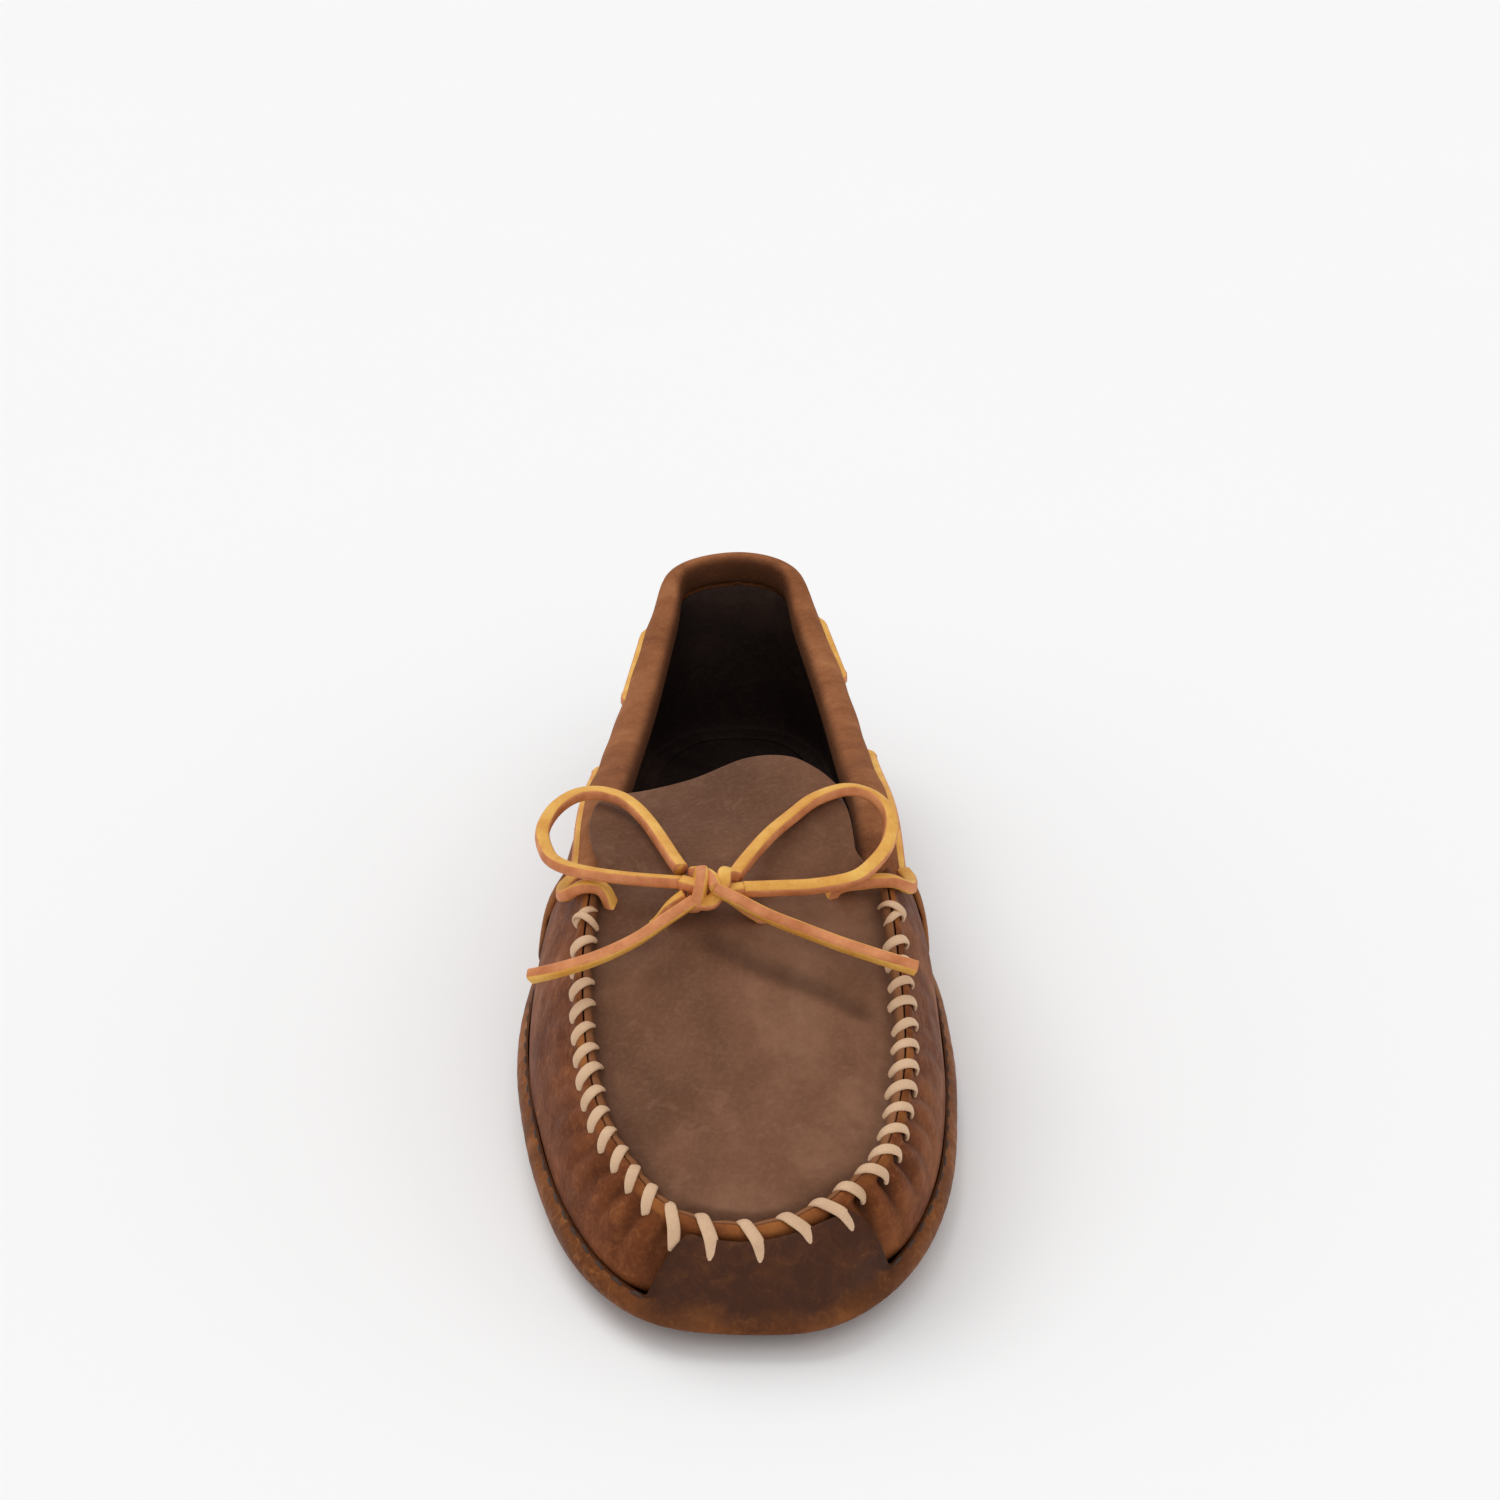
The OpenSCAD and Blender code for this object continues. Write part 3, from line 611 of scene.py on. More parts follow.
def add_loops_and_tails():
    for name, route, turn in (("lateral", LOOP_LATERAL, (-10, 20)), ("medial", LOOP_MEDIAL, (0, 30))):
        loop, line = lace_tube("bow_loop_" + name, route, turn=turn)
        dress(loop, LACE, "rawhide_lace", None, "lace_loop_" + name, "lace_loop_root_" + name)
        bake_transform(loop)
    for name, route, turn in (("lateral", TAIL_LATERAL, (132, 122)), ("medial", TAIL_MEDIAL, (50, 62))):
        tail, line = lace_tube("bow_tail_" + name, route, turn=turn)
        dress(tail, LACE, "rawhide_lace", "shoe", "lace_tail_" + name)


def add_held_laces():
    for name, route in (("lateral", LEAD_LATERAL), ("medial", LEAD_MEDIAL)):
        lead, _ = lace_tube("lace_lead_" + name + "_run", route)
        dress(lead, LACE, "rawhide_lace", "shoe", "lace_lead_" + name)


# Stations between which the collar's lace shows on the outside
LACE_SHOWS = [[7.18, 8.85], [10, 10.85], [14.95, 15.7], [16.85, 18.8]]


def collar_lace_line(s):
    """The lace lies outside the collar where it shows, and inside it elsewhere, less deep at the narrow heel."""
    shown = np.max([smooth((s - a + 0.12) / 0.12) * smooth((b + 0.12 - s) / 0.12) for a, b in LACE_SHOWS], 0)
    hidden = 3.8 - 1.9 * np.exp(-((s - HEEL) / 2.6) ** 2)
    return ring_at(EDGE, s) - edge_out(s) * mix(hidden, -2.1, shown)[:, None] - UP * 4.6


def add_collar_lace():
    line = collar_lace_line(steps(LACE_SHOWS[0][0] - 0.03, LACE_SHOWS[-1][1], 150))
    lace, _ = lace_tube("collar_lace_run", line, per=2)
    dress(lace, LACE, "rawhide_lace", "shoe", "collar_lace")


KNOT = np.array([-5.5, -56.4, 62.4])


def add_knot():
    """The band of the knot, and the strands that pass through it."""
    turns = np.linspace(0, 2 * np.pi, 13)
    band = np.stack([1.1 * np.sin(turns) - 2.2, 4.3 * np.cos(turns), 3.5 * np.sin(turns) + 0.4], 1) + KNOT
    pieces = [lace_tube("knot_band", band, up=(1, 0, 0.2), closed=True)[0]]
    for name, turn, route in (
            ("over", (10, 70), [[-8.6, -48.6, 62.8], [-6.4, -52.4, 64.6], [-4.4, -56.4, 65.6], [-3.4, -60.6, 65]]),
            ("under", (0, 0), [[-11.6, -53.6, 63], [-7.6, -55.4, 62.8], [-3, -56.8, 62.4], [2.6, -56, 62.5]]),
            ("cross", (0, 40), [[0.6, -51.6, 63.5], [-1.6, -54.4, 65.6], [-2.2, -57.6, 64.4], [-4.6, -60, 61.6],
                                [-8.8, -60.6, 62]])):
        pieces.append(lace_tube("knot_" + name, route, turn=turn)[0])
    dress(join(pieces, "bow_knot"), LACE, "rawhide_lace", "shoe", "lace_knot")


def join(pieces, name):
    with bpy.context.temp_override(active_object=pieces[0], selected_editable_objects=pieces,
                                   selected_objects=pieces, object=pieces[0]):
        bpy.ops.object.join()
    pieces[0].name = name
    pieces[0].data.name = name
    return pieces[0]


add_loops_and_tails()
add_held_laces()
add_collar_lace()
add_knot()

# -------- bottom

# The toe tab rises from the rim between these stations from the toe, and reaches the seam between the inner pair
TAB_FOOT = (-2.3, 1.45)
TAB_HEAD = (-1.85, 1.0)


def tab_reach(s):
    """Share of the side's height that the toe tab covers at each station."""
    a = from_toe(s)
    left = (a - TAB_FOOT[0]) / (TAB_HEAD[0] - TAB_FOOT[0])
    right = (TAB_FOOT[1] - a) / (TAB_FOOT[1] - TAB_HEAD[1])
    return smooth(np.clip(np.minimum(left, right), 0, 1))


def tuck(s):
    """How far the upper lies inside the side surface, to clear the toe tab."""
    a = from_toe(s)
    away = np.maximum(TAB_HEAD[0] - a, a - TAB_HEAD[1])
    return -1.9 * (1 - smooth((away - 0.1) / 0.9))


def toe_curl(s):
    """How much the bottom curls up under the toe, from 0 to 1."""
    return 1 - smooth((np.abs(from_toe(s) + 0.4) - 1.6) / 2.2)


def add_outer_bottom():
    s = steps(0, STATIONS, STATIONS * 16 // FINE)[:-1]
    z = rim_z(s)
    t = tab_reach(s)
    c = toe_curl(s)
    top = mix(0.02, 1.0, t)
    pinch = (0.35 * np.abs(np.sin(np.pi * s * 4.2)) ** 0.6 + ripple(ring_at(RIM, s), 9, 0.3)) * (1 - t)
    outer = mix(0.8, 0.5, t)
    inner = mix(0.2, -1.5, t)
    fat = 0.9 * smooth(t * 2) * np.sin(np.pi * np.clip(t, 0, 1))
    under = [inset(s, 30, 0.0), inset(s, 12, 0.0), inset(s, 8 + 3 * c, 0.3 + 0.3 * c),
             inset(s, 4.6 + 3.4 * c, 1.4 + 0.4 * c), inset(s, 2.0 + 3.2 * c, 3.4), inset(s, 0.6 + 1.8 * c, z * 0.46)]
    rim = [inset(s, 0.1 - pinch * 0.3, z * 0.64), inset(s, 0.1 - pinch * 0.3, z * 0.78),
           inset(s, mix(0.6, 0.5, t) - pinch * 0.2, z - 0.9), inset(s, mix(1.5, 1.4, t), z - 0.2 + pinch)]
    climb = [0.02, 0.1, 0.22, 0.36, 0.5, 0.64, 0.78, 0.9, 0.97, 1.0]
    outside = [skin(s, v * top, outer + fat * v) for v in climb]
    inside = [skin(s, v * top, inner) for v in reversed(climb)]
    floor = [inset(s, mix(3.4, 5.2, t), z * 0.76), inset(s, mix(5.8, 7.2, t), PAD_Z + 1.9), inset(s, 10.5, 3.0),
             inset(s, 14, SOLE_T), inset(s, 30, SOLE_T)]
    grid = rows(*(under + rim + outside + inside + floor))
    # Painted shade: the toe tab is darkened as the side turned from the key light; the bottom is also darker towards
    # the floor
    height = 0.3 + 0.7 * smooth((grid[..., 2] - 5) / 8)
    wide = 1 - smooth((np.abs(from_toe(s) + 0.4) - 1.3) / 1.6)
    dark = wide[:, None] * height * (1.05 + 0.3 * ripple(grid, 3.2, 1.0))
    wear = np.clip(dark + np.clip(1 - grid[..., 2] / 4.0, 0, 1) * 0.5, 0, 1)
    fold = np.zeros_like(wear)
    # Painted shade where the bottom runs into the valley under the vamp and on its inner face, none on the toe tab
    fold[:, len(under + rim) + 2:] = ((1 - t) * 0.8)[:, None]
    add_layer(cup, "outer_bottom", grid, wear, fold, BOTTOM, "sole_leather", "outsole")


def add_sock():
    s = steps(0, STATIONS, STATIONS * 6)[:-1]
    edge = ((30, 0), (8.6, -0.3), (8.7, 0.7), (9.8, 1.2), (12.5, 1.3), (16, 1.15), (24, 0.9), (30, 0.8))
    grid = rows(*(inset(s, d, SOCK_Z + h) for d, h in edge))
    add_layer(cup, "sock", grid, 0, 0, LINING, "lining_leather", "sock_liner")


def finish_hidden_nodes():
    for name, material in (("sole_pad", FOAM), ("insole", FOAM), ("heel_counter", BOARD)):
        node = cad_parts[name]
        node.data.materials.clear()
        node.data.materials.append(material)


# -------- upper

# The rolled seam: its radius, the height of its axis and how far that lies inside the seam line
RIDGE_R = 1.85
RIDGE_LIFT = 0.5
RIDGE_MIDDLE = 2.1
COLLAR_FROM = 6.98
COLLAR_TO = 19.02


def ridge_point(peak, out, angle, bulge, tall=True):
    """A point on the rolled seam, whose two leathers meet at its top. angle goes from 0 outside to 180 inside."""
    radius = RIDGE_R + 0.5 * bulge
    turn = math.radians(angle)
    lift = 0 * bulge + 0.2 * math.sin(turn)
    if tall:
        lift = radius * (1.0 + 0.1 * bulge) * math.sin(turn) + RIDGE_LIFT
    return peak - out * (RIDGE_MIDDLE - radius * math.cos(turn))[:, None] + UP * lift[:, None]


def vamp_grid(s, tall):
    """Profiles of the vamp with their shading: tall round the apron, and low under the quarters."""
    z = rim_z(s)
    d = tuck(s)
    a = from_toe(s)
    bulge = between_stitches(a) if tall else 0 * s
    top = 1.0 if tall else 0.03
    heights = [0.0, 0.05, 0.12, 0.2, 0.3, 0.4, 0.5, 0.6, 0.7, 0.78, 0.85, 0.91, 0.96, 1.0]
    outside = []
    for v in heights:
        p = skin(s, v * top, d + (gather(s, v) if tall else 0))
        outside.append(p + side_out(s, v * top) * ripple(p, 11, 0.35 if tall else 0)[:, None])
    peak = skin(s, top, d)
    lips = [ridge_point(peak, edge_out(s), angle, bulge, tall) for angle in (12, 36, 58, 76, 91)]
    inside = [skin(s, v * top, d - UPPER_T) for v in (0.9, 0.75, 0.5, 0.25, 0.02)]
    foot = mix(WRAP_Z, z, 0.62)
    base = [inset(s, 24, WRAP_Z), inset(s, 14, WRAP_Z), inset(s, 9 - d, WRAP_Z + 0.6), inset(s, 4.8 - d * 1.2, foot)]
    bed = [inset(s, 7 - d * 1.2, foot + 1.2), inset(s, 10 - d, WRAP_Z + UPPER_T + 0.1),
           inset(s, 14, WRAP_Z + UPPER_T), inset(s, 24, WRAP_Z + UPPER_T)]
    grid = rows(*(base + outside + lips + inside + bed))
    wear = np.zeros(grid.shape[:2])
    fold = np.zeros(grid.shape[:2])
    # Painted shade under the vamp's wrap and low in the valley against the rim
    fold[:, :6] = [0.9, 0.9, 0.9, 0.9, 0.8, 0.35]
    if tall:
        first, last = len(base), len(base) + len(heights)
        # Painted shade in the fold beside the toe tab and in the gathers under the seam
        beside_tab = np.exp(-((np.abs(a + 0.42) - 1.4) / 0.6) ** 2)
        crease = np.clip((1 - np.abs(np.sin(np.pi * stitch_phase(a)))) * 1.3 - 0.2, 0, 1)
        depth = np.interp(a, GATHER_A, GATHER_D) / 2.6
        fold[:, first:last] += 0.42 * beside_tab[:, None] + 0.8 * (depth * crease)[:, None] * heights
        wear[:, last + 1:last + 4] = np.clip(0.25 + 0.6 * ripple(peak, 5, 1.0), 0, 0.9)[:, None]
    return grid, np.clip(wear, 0, 1), np.clip(fold, 0, 1)


def add_vamp():
    front = steps(SEAM_MEDIAL, STATIONS + SEAM_LATERAL, (STATIONS + SEAM_LATERAL - SEAM_MEDIAL) * 16 // FINE)
    rear = steps(SEAM_LATERAL + 0.02, SEAM_MEDIAL - 0.02, (SEAM_MEDIAL - SEAM_LATERAL) * 8)
    grid, wear, fold = (np.concatenate(x) for x in zip(vamp_grid(front, True), vamp_grid(rear, False)))
    add_layer(cup, "vamp_wrap", grid, wear, fold, VAMP, "vamp_leather", "vamp")


def band_grid(s, low, high, outer, inner, shares):
    """Profiles of a layer of the side between heights low and high and depths outer and inner."""
    ks = np.linspace(0, 1, shares)
    return rows(*([skin(s, mix(low, high, k), outer) for k in ks]
                  + [skin(s, mix(low, high, k), inner) for k in reversed(ks)]))


def add_quarters():
    shares = 12
    for name, start, end in (("lateral", SEAM_LATERAL - 0.12, HEEL - 0.02),
                             ("medial", HEEL + 0.02, SEAM_MEDIAL + 0.12)):
        s = steps(start, end, 6 * 14 // FINE)
        near = 1 - smooth(np.abs(s - (start if name == "lateral" else end)) / 0.4)
        lap = 1.9 * near
        grid = band_grid(s, 0.04, below_top(s, COLLAR_H + 0.2), lap, lap - 1.7, shares)
        move = ripple(grid, 13, 0.4)
        move[:, shares:] = 0
        grid = grid + unit(side_out(s, 0.5))[:, None, :] * move[..., None]
        k = np.linspace(0, 1, shares)
        # Painted shade low on the quarter, in the valley against the rim, outside and in
        fold = np.clip(0.8 - np.concatenate([k, k[::-1]]) * 7, 0, 1)
        add_layer(loft, "quarter_" + name + "_leather", grid, near[:, None] ** 6 * 0.6, fold, VAMP, "vamp_leather",
                  "quarter_" + name)


def lining_depth(s):
    return -2.2 - 1.4 * smooth((s - 9.6) / 0.6) * smooth((16.4 - s) / 0.6)


def add_lining():
    s = steps(SEAM_LATERAL + 0.1, SEAM_MEDIAL - 0.1, 12 * 8)
    grid = band_grid(s, 0.0, below_top(s, COLLAR_H + 0.2), lining_depth(s), lining_depth(s) - LINING_T, 7)
    foot = [inset(s, d, z) for d, z in ((9.6, 13.6), (11.5, 13.1), (14, 12.7), (14, 12.2), (8.0, 12.4))]
    add_layer(loft, "quarter_lining_leather", np.concatenate([grid, rows(*foot)], 1), 0, 0, LINING,
              "lining_leather", "quarter_lining")


def add_collar():
    s = steps(COLLAR_FROM, COLLAR_TO, 12 * 14 // FINE)
    top = ring_at(EDGE, s)
    out = edge_out(s)
    low = side(s, below_top(s, COLLAR_H))
    w = COLLAR_W - 3.0 * np.exp(-((s - HEEL) / 2.6) ** 2)[:, None]
    end = smooth(np.minimum(s - COLLAR_FROM, COLLAR_TO - s) / 0.12) ** 0.5
    puff = ripple(top, 7, 0.35)
    foot = top - out * w - UP * COLLAR_H
    outside = [mix(low, top, k) + out * (x + puff)[:, None]
               for x, k in ((0.3, 0.0), (0.9, 0.18), (1.2, 0.45), (1.0, 0.72), (0.45, 0.9))]
    over = [top - out * w * d + UP * h
            for d, h in ((0.07, -0.4), (0.23, 0.1), (0.48, 0.3), (0.75, 0.1), (0.93, -0.6))]
    inner = [top - out * (w + x) - UP * h for x, h in ((0.15, 2.0), (0.3, 4.2), (0.25, 6.6), (-0.2, 8.6))]
    grid = rows(*(outside + over + inner + [mix(low, foot, 0.6), mix(low, foot, 0.2)]))
    centre = grid.mean(1, keepdims=True)
    grid = centre + (grid - centre) * np.maximum(end, 0.25)[:, None, None]
    wear = np.zeros(grid.shape[:2])
    fold = np.zeros(grid.shape[:2])
    # Painted shade: darker at the roll's foot against the quarter and on its inner face, most at the heel
    wear[:, 0] = fold[:, 0] = 0.5
    wear[:, 9:14] = [0.35, 0.8, 1.0, 1.0, 1.0]
    heel = np.exp(-((s - HEEL) / 2.2) ** 2)[:, None]
    fold[:, 9:14] = np.array([0.0, 0.15, 0.4, 0.6, 0.8]) + heel * np.array([0.2, 0.55, 0.45, 0.25, 0.1])
    fold = np.clip(fold * (1 + 0.25 * ripple(grid, 4, 1.0)), 0, 1)
    add_layer(loft, "collar_roll", grid, wear, fold, COLLAR, "collar_suede", "collar")


def add_back_stay():
    s = steps(HEEL - 0.35, HEEL + 0.35, 14)
    grid = band_grid(s, 0.05, below_top(s, COLLAR_H + 0.8), 1.7, 0.1, 10)
    wear = np.zeros(grid.shape[:2])
    wear[:2] = wear[-2:] = 0.5
    add_layer(loft, "back_stay_strip", grid, wear, 0, VAMP, "vamp_leather", "back_stay")


add_outer_bottom()
add_sock()
finish_hidden_nodes()
add_vamp()
add_quarters()
add_lining()
add_collar()
add_back_stay()

# -------- apron and tongue, one piece of leather

APRON_SPINE = np.array([[3, -114, 32], [3, -98, 39], [3, -80, 47], [2.5, -62, 55.5], [2, -43.4, 59.5]], float)
TONGUE = np.array([
    [[-28, -42.4, 57], [-18, -42.4, 58.8], [-6, -42.4, 59.6], [6, -42.4, 59.8], [17, -42.4, 59.6],
     [25, -42.4, 59], [29, -42.4, 58.4]],
    [[-32.5, -34, 59.8], [-21, -33, 60], [-7, -33, 61.4], [6, -33, 63], [17, -33, 64], [25, -33, 63.6],
     [29, -34, 62.4]],
    [[-34.5, -22, 61.3], [-22, -21, 60.8], [-8, -21, 62.6], [5, -21, 66], [16, -22, 67.8],
     [24, -23, 67.4], [28, -25, 66]],
    [[-33.5, -11, 61.6], [-22, -8.5, 60.8], [-9, -9, 64], [4, -9.5, 69], [15, -12.5, 70.8],
     [22.5, -15.5, 69.2], [26.5, -18.5, 66.8]],
    [[-31.5, -6, 61.4], [-22.5, -3, 60.8], [-10, -3.2, 64.2], [3, -3.2, 69.8], [13.5, -6.5, 72],
     [20.5, -11, 71], [25, -15, 69]]], float)


def apron_rim(a):
    s = a % STATIONS
    return skin(s, 1.0, tuck(s)) - edge_out(s) * (UPPER_T + 0.25)


# The two sides of the seam, from the toe backwards
SEAM_LINES = [apron_rim(way * np.linspace(0.0, APRON_END + 0.2, 300)) for way in (1, -1)]
# The middle line's heights, from the seam at the toe to the tongue
SPINE_Y = np.concatenate([[-133, -124], APRON_SPINE[:, 1]])
SPINE_Z = np.concatenate([[23.6, 26.8], APRON_SPINE[:, 2]])


def apron_height(x, y):
    """Height of the apron over a plan position: an arch between the two sides of the seam."""
    sides = []
    for line in SEAM_LINES:
        order = np.argsort(line[:, 1])
        sides.append([np.interp(y, line[order, 1], line[order, k]) for k in (0, 2)])
    (xl, zl), (xr, zr) = sides
    w = np.clip((x - xl) / np.maximum(xr - xl, 1e-3), 0, 1)
    arch = (4 * w * (1 - w)) ** 0.8
    middle = np.interp(y, SPINE_Y, SPINE_Z) - (zl + zr) / 2
    return mix(zl, zr, w) - 0.8 + (middle + 0.8) * arch


def apron_spine(a):
    return line_at(APRON_SPINE, np.clip(np.abs(a) / APRON_END, 0, 1) * (len(APRON_SPINE) - 1))


def plug_row(a, r):
    """Points of the apron at share r of the way from the seam to the middle line."""
    p = mix(apron_rim(a) - edge_out(a % STATIONS) * 3.2, apron_spine(a), r)
    p[..., 2] = apron_height(p[..., 0], p[..., 1])
    return p


# Each crease: its two ends in plan, its depth and its width
CREASES = [((-9, -62), (33, -83), 1.3, 2.4), ((-31, -57), (-15, -66), 0.7, 3.0), ((12, -60), (34, -66), 0.45, 3.2)]


def dents(p):
    """Shallow worn creases across the apron: how far they move the leather, and the shade painted into them."""
    shift = np.zeros(p.shape[:-1])
    crease_shade = np.zeros(p.shape[:-1])
    for (x0, y0), (x1, y1), depth, width in CREASES:
        along = np.array([x1 - x0, y1 - y0], float)
        reach = np.linalg.norm(along)
        along /= reach
        t = (p[..., 0] - x0) * along[0] + (p[..., 1] - y0) * along[1]
        across = (p[..., 1] - y0) * along[0] - (p[..., 0] - x0) * along[1] + 1.5 * np.sin(t / reach * 5)
        fade = depth * smooth(t / 6) * smooth((reach - t) / 6)
        lip = np.exp(-((across - 1.6 * width) / width) ** 2)
        shift -= fade * (np.exp(-(across / width) ** 2) - 0.5 * lip)
        # Painted shade along each crease
        crease_shade += 0.42 * fade * np.exp(-((across - 0.5) / (width * 0.9)) ** 2)
    return shift, crease_shade


def worn_in(p):
    """Moves the apron's points down into the worn creases, and slightly up and down."""
    p[:, 2] += dents(p)[0] + ripple(p, 12, 0.35)
    return p


def add_plug():
    # From the seam inwards: the lip of the rolled seam, the field of the apron and its middle line
    half = 112 // FINE
    a = np.linspace(-APRON_END, APRON_END, 2 * half + 1)
    s = a % STATIONS
    bulge = between_stitches(a)
    peak = skin(s, 1.0, tuck(s))
    lip = [apron_rim(a) - UP] + [ridge_point(peak, edge_out(s), angle, bulge) for angle in (86, 100, 124, 150, 174)]
    field_rows = []
    for r in np.concatenate([[0, 0.03, 0.07], np.linspace(0.11, 0.95, 20)]):
        p = plug_row(a, r)
        p[:, 2] += math.exp(-r / 0.06) * 0.5 * (bulge - 0.5) * np.interp(np.abs(a), [0, 3, 6.8], [1.0, 0.8, 0.3])
        field_rows.append(worn_in(p))
    grid = rows(*(lip + field_rows))
    n, m = grid.shape[:2]
    spine = apron_spine(np.linspace(0, APRON_END, half + 1))
    spine[:, 2] = apron_height(spine[:, 0], spine[:, 1])
    points = np.concatenate([grid.reshape(-1, 3), worn_in(spine)])
    faces = grid_faces(n, m)
    middle = n * m
    for i in range(n - 1):
        here, after = middle + abs(i - half), middle + abs(i + 1 - half)
        faces.append((i * m + m - 1, (i + 1) * m + m - 1, after, here))
    # The apron's rear row, from the outer side's lip over the middle to the inner side's lip, starts the tongue
    rear = [(n - 1) * m + j for j in range(m)] + [middle + half] + list(reversed(range(m)))
    first = points[rear]
    shares = np.concatenate([[0], np.cumsum(np.linalg.norm(np.diff(first, axis=0), axis=1))])
    net = np.array([line_at(row, shares / shares[-1] * (len(row) - 1)) for row in TONGUE])
    bars = 36 // FINE
    tongue = []
    for k in steps(0, 1, bars)[1:]:
        row = line_at(net, k * (len(TONGUE) - 1))
        tongue.append(worn_in(mix(row, first + (row - net[0]), 1 - smooth(k / 0.22))))
    index = [rear] + (len(points) + np.arange(bars * len(rear)).reshape(bars, -1)).tolist()
    for near, far in zip(index, index[1:]):
        faces += [(near[j], far[j], far[j + 1], near[j + 1]) for j in range(len(rear) - 1)]
    points = np.concatenate([points] + tongue)
    place_on_row = np.arange(n * m) % m
    wear = np.zeros(len(points))
    wear[:n * m] = np.where(place_on_row < 4, 0.55, np.where(place_on_row == 4, 0.3, 0))
    # Painted shade in the creases, over the apron's top and the tongue near the bow, and beside the seam roll
    fold = dents(points)[1] + 0.14 * smooth((points[:, 1] + 80) / 16)
    fold[:n * m] += np.interp(place_on_row, [3, 4, 5, 6, 8, 11], [0, 0.35, 0.7, 0.5, 0.15, 0])
    piece = make_piece("apron_and_tongue", points, faces, {"wear": wear, "fold": np.clip(fold, 0, 1)})
    face_up(piece)
    shell = piece.modifiers.new("leather", "SOLIDIFY")
    shell.thickness = 1.7 * MM
    shell.offset = -1.0
    shell.use_even_offset = False
    piece = rounded(bake(piece))
    dress(piece, APRON, "apron_leather", None, "apron", "tongue")
    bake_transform(piece)


def face_up(piece):
    shape = bmesh.new()
    shape.from_mesh(piece.data)
    shape.normal_update()
    bmesh.ops.recalc_face_normals(shape, faces=shape.faces)
    shape.normal_update()
    if sum(face.normal.z * face.calc_area() for face in shape.faces) < 0:
        bmesh.ops.reverse_faces(shape, faces=shape.faces)
    shape.to_mesh(piece.data)
    shape.free()


add_plug()

# -------- stitches, by Geometry Nodes


STITCH_T = 0.9
STITCH_LEAN = 0.5


def stitch_mesh(name, width, long=False):
    """One flat stitch over the ridge: x runs along the seam, y outwards and z up."""
    path = np.array([[-1.0, 0.5, -1.7], [-0.9, 0.75, 0.1], [-0.5, 0.35, 1.6], [-0.1, -0.9, 2.75],
                     [0.15, -2.3, 2.95], [0.45, -3.7, 2.3], [0.8, -4.7, 0.9], [1.0, -5.1, -0.5]])
    if long:
        path = np.concatenate([[[-1.3, 4.0, -2.6], [-1.25, 3.8, -1.5], [-1.1, 3.1, 0.0], [-0.8, 1.8, 1.6]], path[3:]])
    path[:, 0] *= STITCH_LEAN
    line = line_at(path, np.linspace(0, len(path) - 1, 29))
    along = np.array([1.0, 0, 0])
    turn = np.linspace(0, 2 * np.pi, 12, endpoint=False)
    c, d = (np.sign(x) * np.abs(x) ** 0.8 / 2 for x in (np.cos(turn), np.sin(turn)))
    rings = []
    for t, p, direction in zip(np.linspace(0, 1, len(line)), line, unit(np.gradient(line, axis=0))):
        wide = unit(along - direction * np.dot(along, direction))
        high = np.cross(direction, wide)
        w = width * (0.35 + 0.65 * math.sin(math.pi * min(t * 0.92 + (0.16 if long else 0.06), 1)) ** 0.6)
        rings.append(p + np.outer(c, wide) * w + np.outer(d, high) * STITCH_T)
    return shade(tube(name, rings))


def scatter_tree(name):
    """A node tree that puts a copy of one shape on each point, turned to the point's own directions."""
    tree = bpy.data.node_groups.new(name, "GeometryNodeTree")
    for socket, kind in (("Geometry", "Geometry"), ("Shape", "Object"), ("Turn spread", "Float"),
                         ("Size spread", "Float"), ("Material", "Material")):
        tree.interface.new_socket(socket, in_out="INPUT", socket_type="NodeSocket" + kind)
    tree.interface.new_socket("Geometry", in_out="OUTPUT", socket_type="NodeSocketGeometry")
    source = tree.nodes.new("NodeGroupInput").outputs

    def own(attribute):
        return add(tree, "GeometryNodeInputNamedAttribute", {"data_type": "FLOAT_VECTOR"},
                   Name=attribute).outputs["Attribute"]

    def chance(low, high, seed):
        node = add(tree, "FunctionNodeRandomValue", {"data_type": "FLOAT"}, Seed=seed)
        return feed(tree, node, {2: low, 3: high}).outputs[1]

    stand = add(tree, "FunctionNodeAlignRotationToVector", {"axis": "Z"}, Vector=own("up"))
    point = add(tree, "FunctionNodeAlignRotationToVector", {"axis": "Y", "pivot_axis": "Z"},
                Rotation=stand.outputs["Rotation"], Vector=own("out"))
    spread_turn, spread_size = source["Turn spread"], source["Size spread"]
    angle = add(tree, "ShaderNodeCombineXYZ", Z=chance(calc(tree, "MULTIPLY", spread_turn, -1.0), spread_turn, 7))
    spin = add(tree, "FunctionNodeEulerToRotation", None, angle.outputs[0])
    rotate = add(tree, "FunctionNodeRotateRotation", {"rotation_space": "LOCAL"},
                 Rotation=point.outputs["Rotation"], Rotate_By=spin.outputs[0])
    size = chance(calc(tree, "SUBTRACT", 1.0, spread_size), calc(tree, "ADD", 1.0, spread_size), 19)
    scaled = add(tree, "ShaderNodeVectorMath", {"operation": "SCALE"}, own("size"), Scale=size)
    shape = add(tree, "GeometryNodeObjectInfo", Object=source["Shape"])
    copies = add(tree, "GeometryNodeInstanceOnPoints", Points=source["Geometry"],
                 Instance=shape.outputs["Geometry"], Rotation=rotate.outputs[0], Scale=scaled.outputs[0])
    real = add(tree, "GeometryNodeRealizeInstances", None, copies.outputs["Instances"])
    paint = add(tree, "GeometryNodeSetMaterial", Geometry=real.outputs[0], Material=source["Material"])
    add(tree, "NodeGroupOutput", None, paint.outputs[0])
    return tree


SCATTER = scatter_tree("stitches_on_points")


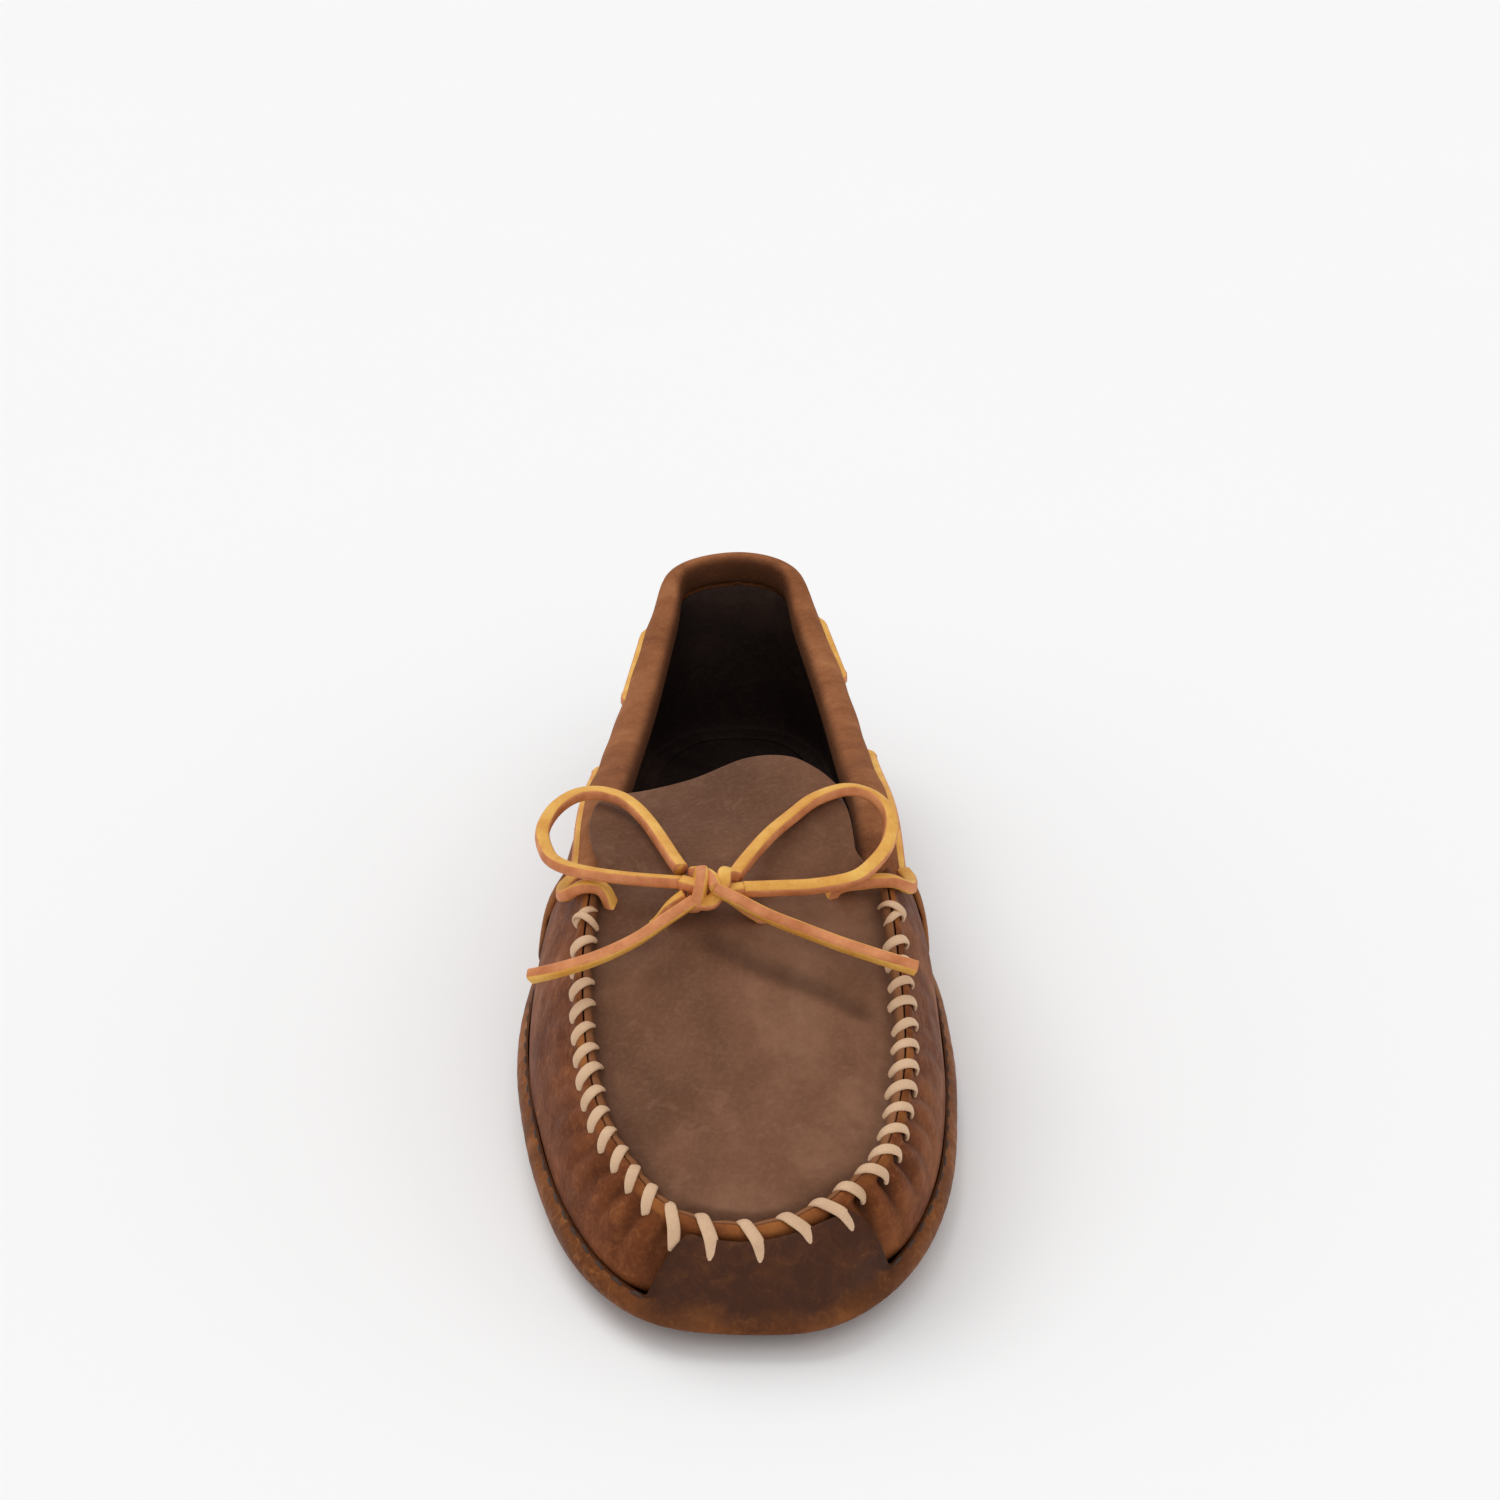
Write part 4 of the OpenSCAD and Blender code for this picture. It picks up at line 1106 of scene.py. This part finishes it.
def scatter(name, places, outs, ups, sizes, shape, material, turn=0.0, vary=0.0):
    """Copies of shape at places, as one plain mesh."""
    mesh = bpy.data.meshes.new(name)
    mesh.from_pydata((np.asarray(places) * MM).tolist(), [], [])
    for attribute, values in (("out", outs), ("up", ups), ("size", sizes)):
        layer = mesh.attributes.new(attribute, "FLOAT_VECTOR", "POINT")
        layer.data.foreach_set("vector", np.broadcast_to(values, (len(places), 3)).astype(np.float32).ravel())
    piece = place(name, mesh)
    modifier = piece.modifiers.new("scatter", "NODES")
    modifier.node_group = SCATTER
    choices = {"Shape": shape, "Turn spread": turn, "Size spread": vary, "Material": material}
    for item in SCATTER.interface.items_tree:
        if item.name in choices:
            modifier[item.identifier] = choices[item.name]
    bake(piece)
    bpy.data.objects.remove(shape)
    return shade(piece)


def seam_places(a, lean):
    """Places on the apron seam, the direction across it leaned by some degrees, and the direction up."""
    s = a % STATIONS
    along = edge_along(a)
    up = unit(np.cross(along, np.cross(UP, along)))
    up = np.where(up[:, 2:] < 0, -up, up)
    out = edge_out(s)
    out = unit(out - up * (out * up).sum(-1, keepdims=True))
    lean = np.radians(lean)[:, None]
    return skin(s, 1.0, tuck(s)), out * np.cos(lean) - along * np.sin(lean), up


def add_apron_stitches():
    """Short stitches at the sides, and long ones that reach over the edge of the toe tab."""
    a = np.interp(np.arange(STITCH_COUNT), SEAM_PHASE, SEAM_A)
    toe = smooth((2.6 - np.abs(a + 0.2)) / 1.6)
    base, out, up = seam_places(a, mix(np.where(a > 0, 31, 20), 30, toe) + 4 * np.sin(a * 9.7 + 0.4))
    sizes = np.stack([mix(1.08, 1.25, toe), mix(1.12, 1.1, toe), mix(1.0, 1.12, toe)], 1)
    tab = np.abs(a + 0.3) < 1.85
    parts = [scatter("whip_stitches", base[k], out[k], up[k], sizes[k], stitch_mesh("whip_stitch", 2.4, long), THREAD,
                     0.08, 0.07) for k, long in ((~tab, False), (tab, True))]
    dress(join(parts, "apron_whip_stitches"), THREAD, "waxed_thread", "shoe", "apron_stitches")


def add_tie_offs():
    """Two crossed stitches at each end of the seam."""
    for name, a in (("lateral", 6.48), ("medial", -6.48)):
        base, out, up = seam_places(np.array([a, a]), np.array([34.0, -34.0]))
        base[1] += up[1] * 0.9
        sizes = [[0.85, 1.0, 1.0], [0.85, 1.05, 1.0]]
        piece = scatter("tie_off_" + name + "_stitches", base, out, up, sizes, stitch_mesh("tie_stitch", 2.2), THREAD)
        dress(piece, THREAD, "waxed_thread", "shoe", "tie_off_" + name)


def dash_mesh(name, length, width):
    """A short thread stitch that dips into the leather at both ends."""
    x = np.linspace(-0.5, 0.5, 7)
    line = np.stack([x * length, 0 * x, 0.35 - 3.52 * x ** 2], 1)
    turn = np.linspace(0, 2 * np.pi, 6, endpoint=False)
    ring = np.stack([0 * turn, np.cos(turn), np.sin(turn)], 1) * width / 2
    return shade(tube(name, line[:, None] + ring))


def evenly(start, end, line, gap):
    """Stations spaced by gap millimetres along the line."""
    s = np.linspace(start, end, 2000)
    p = line(s)
    length = np.concatenate([[0], np.cumsum(np.linalg.norm(np.diff(p, axis=0), axis=1))])
    count = int(length[-1] / gap)
    return np.interp(np.arange(count + 1) * length[-1] / count, length, s)


def add_sole_seam():
    def line(s):
        return inset(s, 2.3, rim_z(s) + 0.5)
    s = evenly(TAB_FOOT[1] + 0.15, STATIONS + TAB_FOOT[0] - 0.15, line, 6.0)
    out = outward(RIM, s)
    piece = scatter("sole_seam_stitches", line(s), out, unit(UP + out * 0.3), 1, dash_mesh("seam_dash", 4.2, 0.8),
                    DARK_THREAD, 0.06, 0.05)
    dress(piece, DARK_THREAD, "fine_thread", "shoe", "sole_seam_thread")


def add_collar_seam():
    def line(s):
        return skin(s, below_top(s, COLLAR_H + 2), 0.1)
    s = evenly(7.8, 18.2, line, 4.0)
    normal = side_out(s, below_top(s, COLLAR_H + 2))
    rise = unit(np.cross(edge_along(s), normal))
    piece = scatter("collar_stitches", line(s), rise, normal, 1, dash_mesh("collar_dash", 2.9, 0.7), DARK_THREAD,
                    0.04, 0.04)
    dress(piece, DARK_THREAD, "fine_thread", "shoe", "collar_thread")


add_apron_stitches()
add_tie_offs()
add_sole_seam()
add_collar_seam()

# -------- studio


FLOOR_REACH = 12000


def add_floor():
    corners = [[x * FLOOR_REACH, y * FLOOR_REACH, 0] for x, y in ((-1, -1), (1, -1), (1, 1), (-1, 1))]
    floor = make_piece("studio_floor", corners, [(0, 1, 2, 3)])
    material, tree, surface, where = new_material("pale_floor")
    colour = mix_colour(tree, noise(tree, where, 3.0, 2.0), (0.93, 0.93, 0.93, 1), (0.94, 0.94, 0.94, 1))
    feed(tree, surface, {"Base Color": colour, "Roughness": 0.9, "Specular IOR Level": 0.1})
    floor.data.materials.append(material)


def add_sun(name, direction, strength, angle):
    data = bpy.data.lights.new(name, "SUN")
    data.energy = strength
    data.angle = math.radians(angle)
    place(name, data).rotation_euler = Vector(direction).to_track_quat("-Z", "Y").to_euler()


def add_lights():
    world = bpy.data.worlds.new("studio")
    world.use_nodes = True
    background = world.node_tree.nodes["Background"]
    background.inputs["Color"].default_value = (1, 1, 1, 1)
    background.inputs["Strength"].default_value = 0.66
    scene.world = world
    add_sun("key", (0.5, -0.55, -1.2), 0.9, 42)
    add_sun("front_fill", (-0.15, 0.8, -0.9), 0.45, 60)


add_floor()
add_lights()
scene.view_settings.view_transform = "Standard"
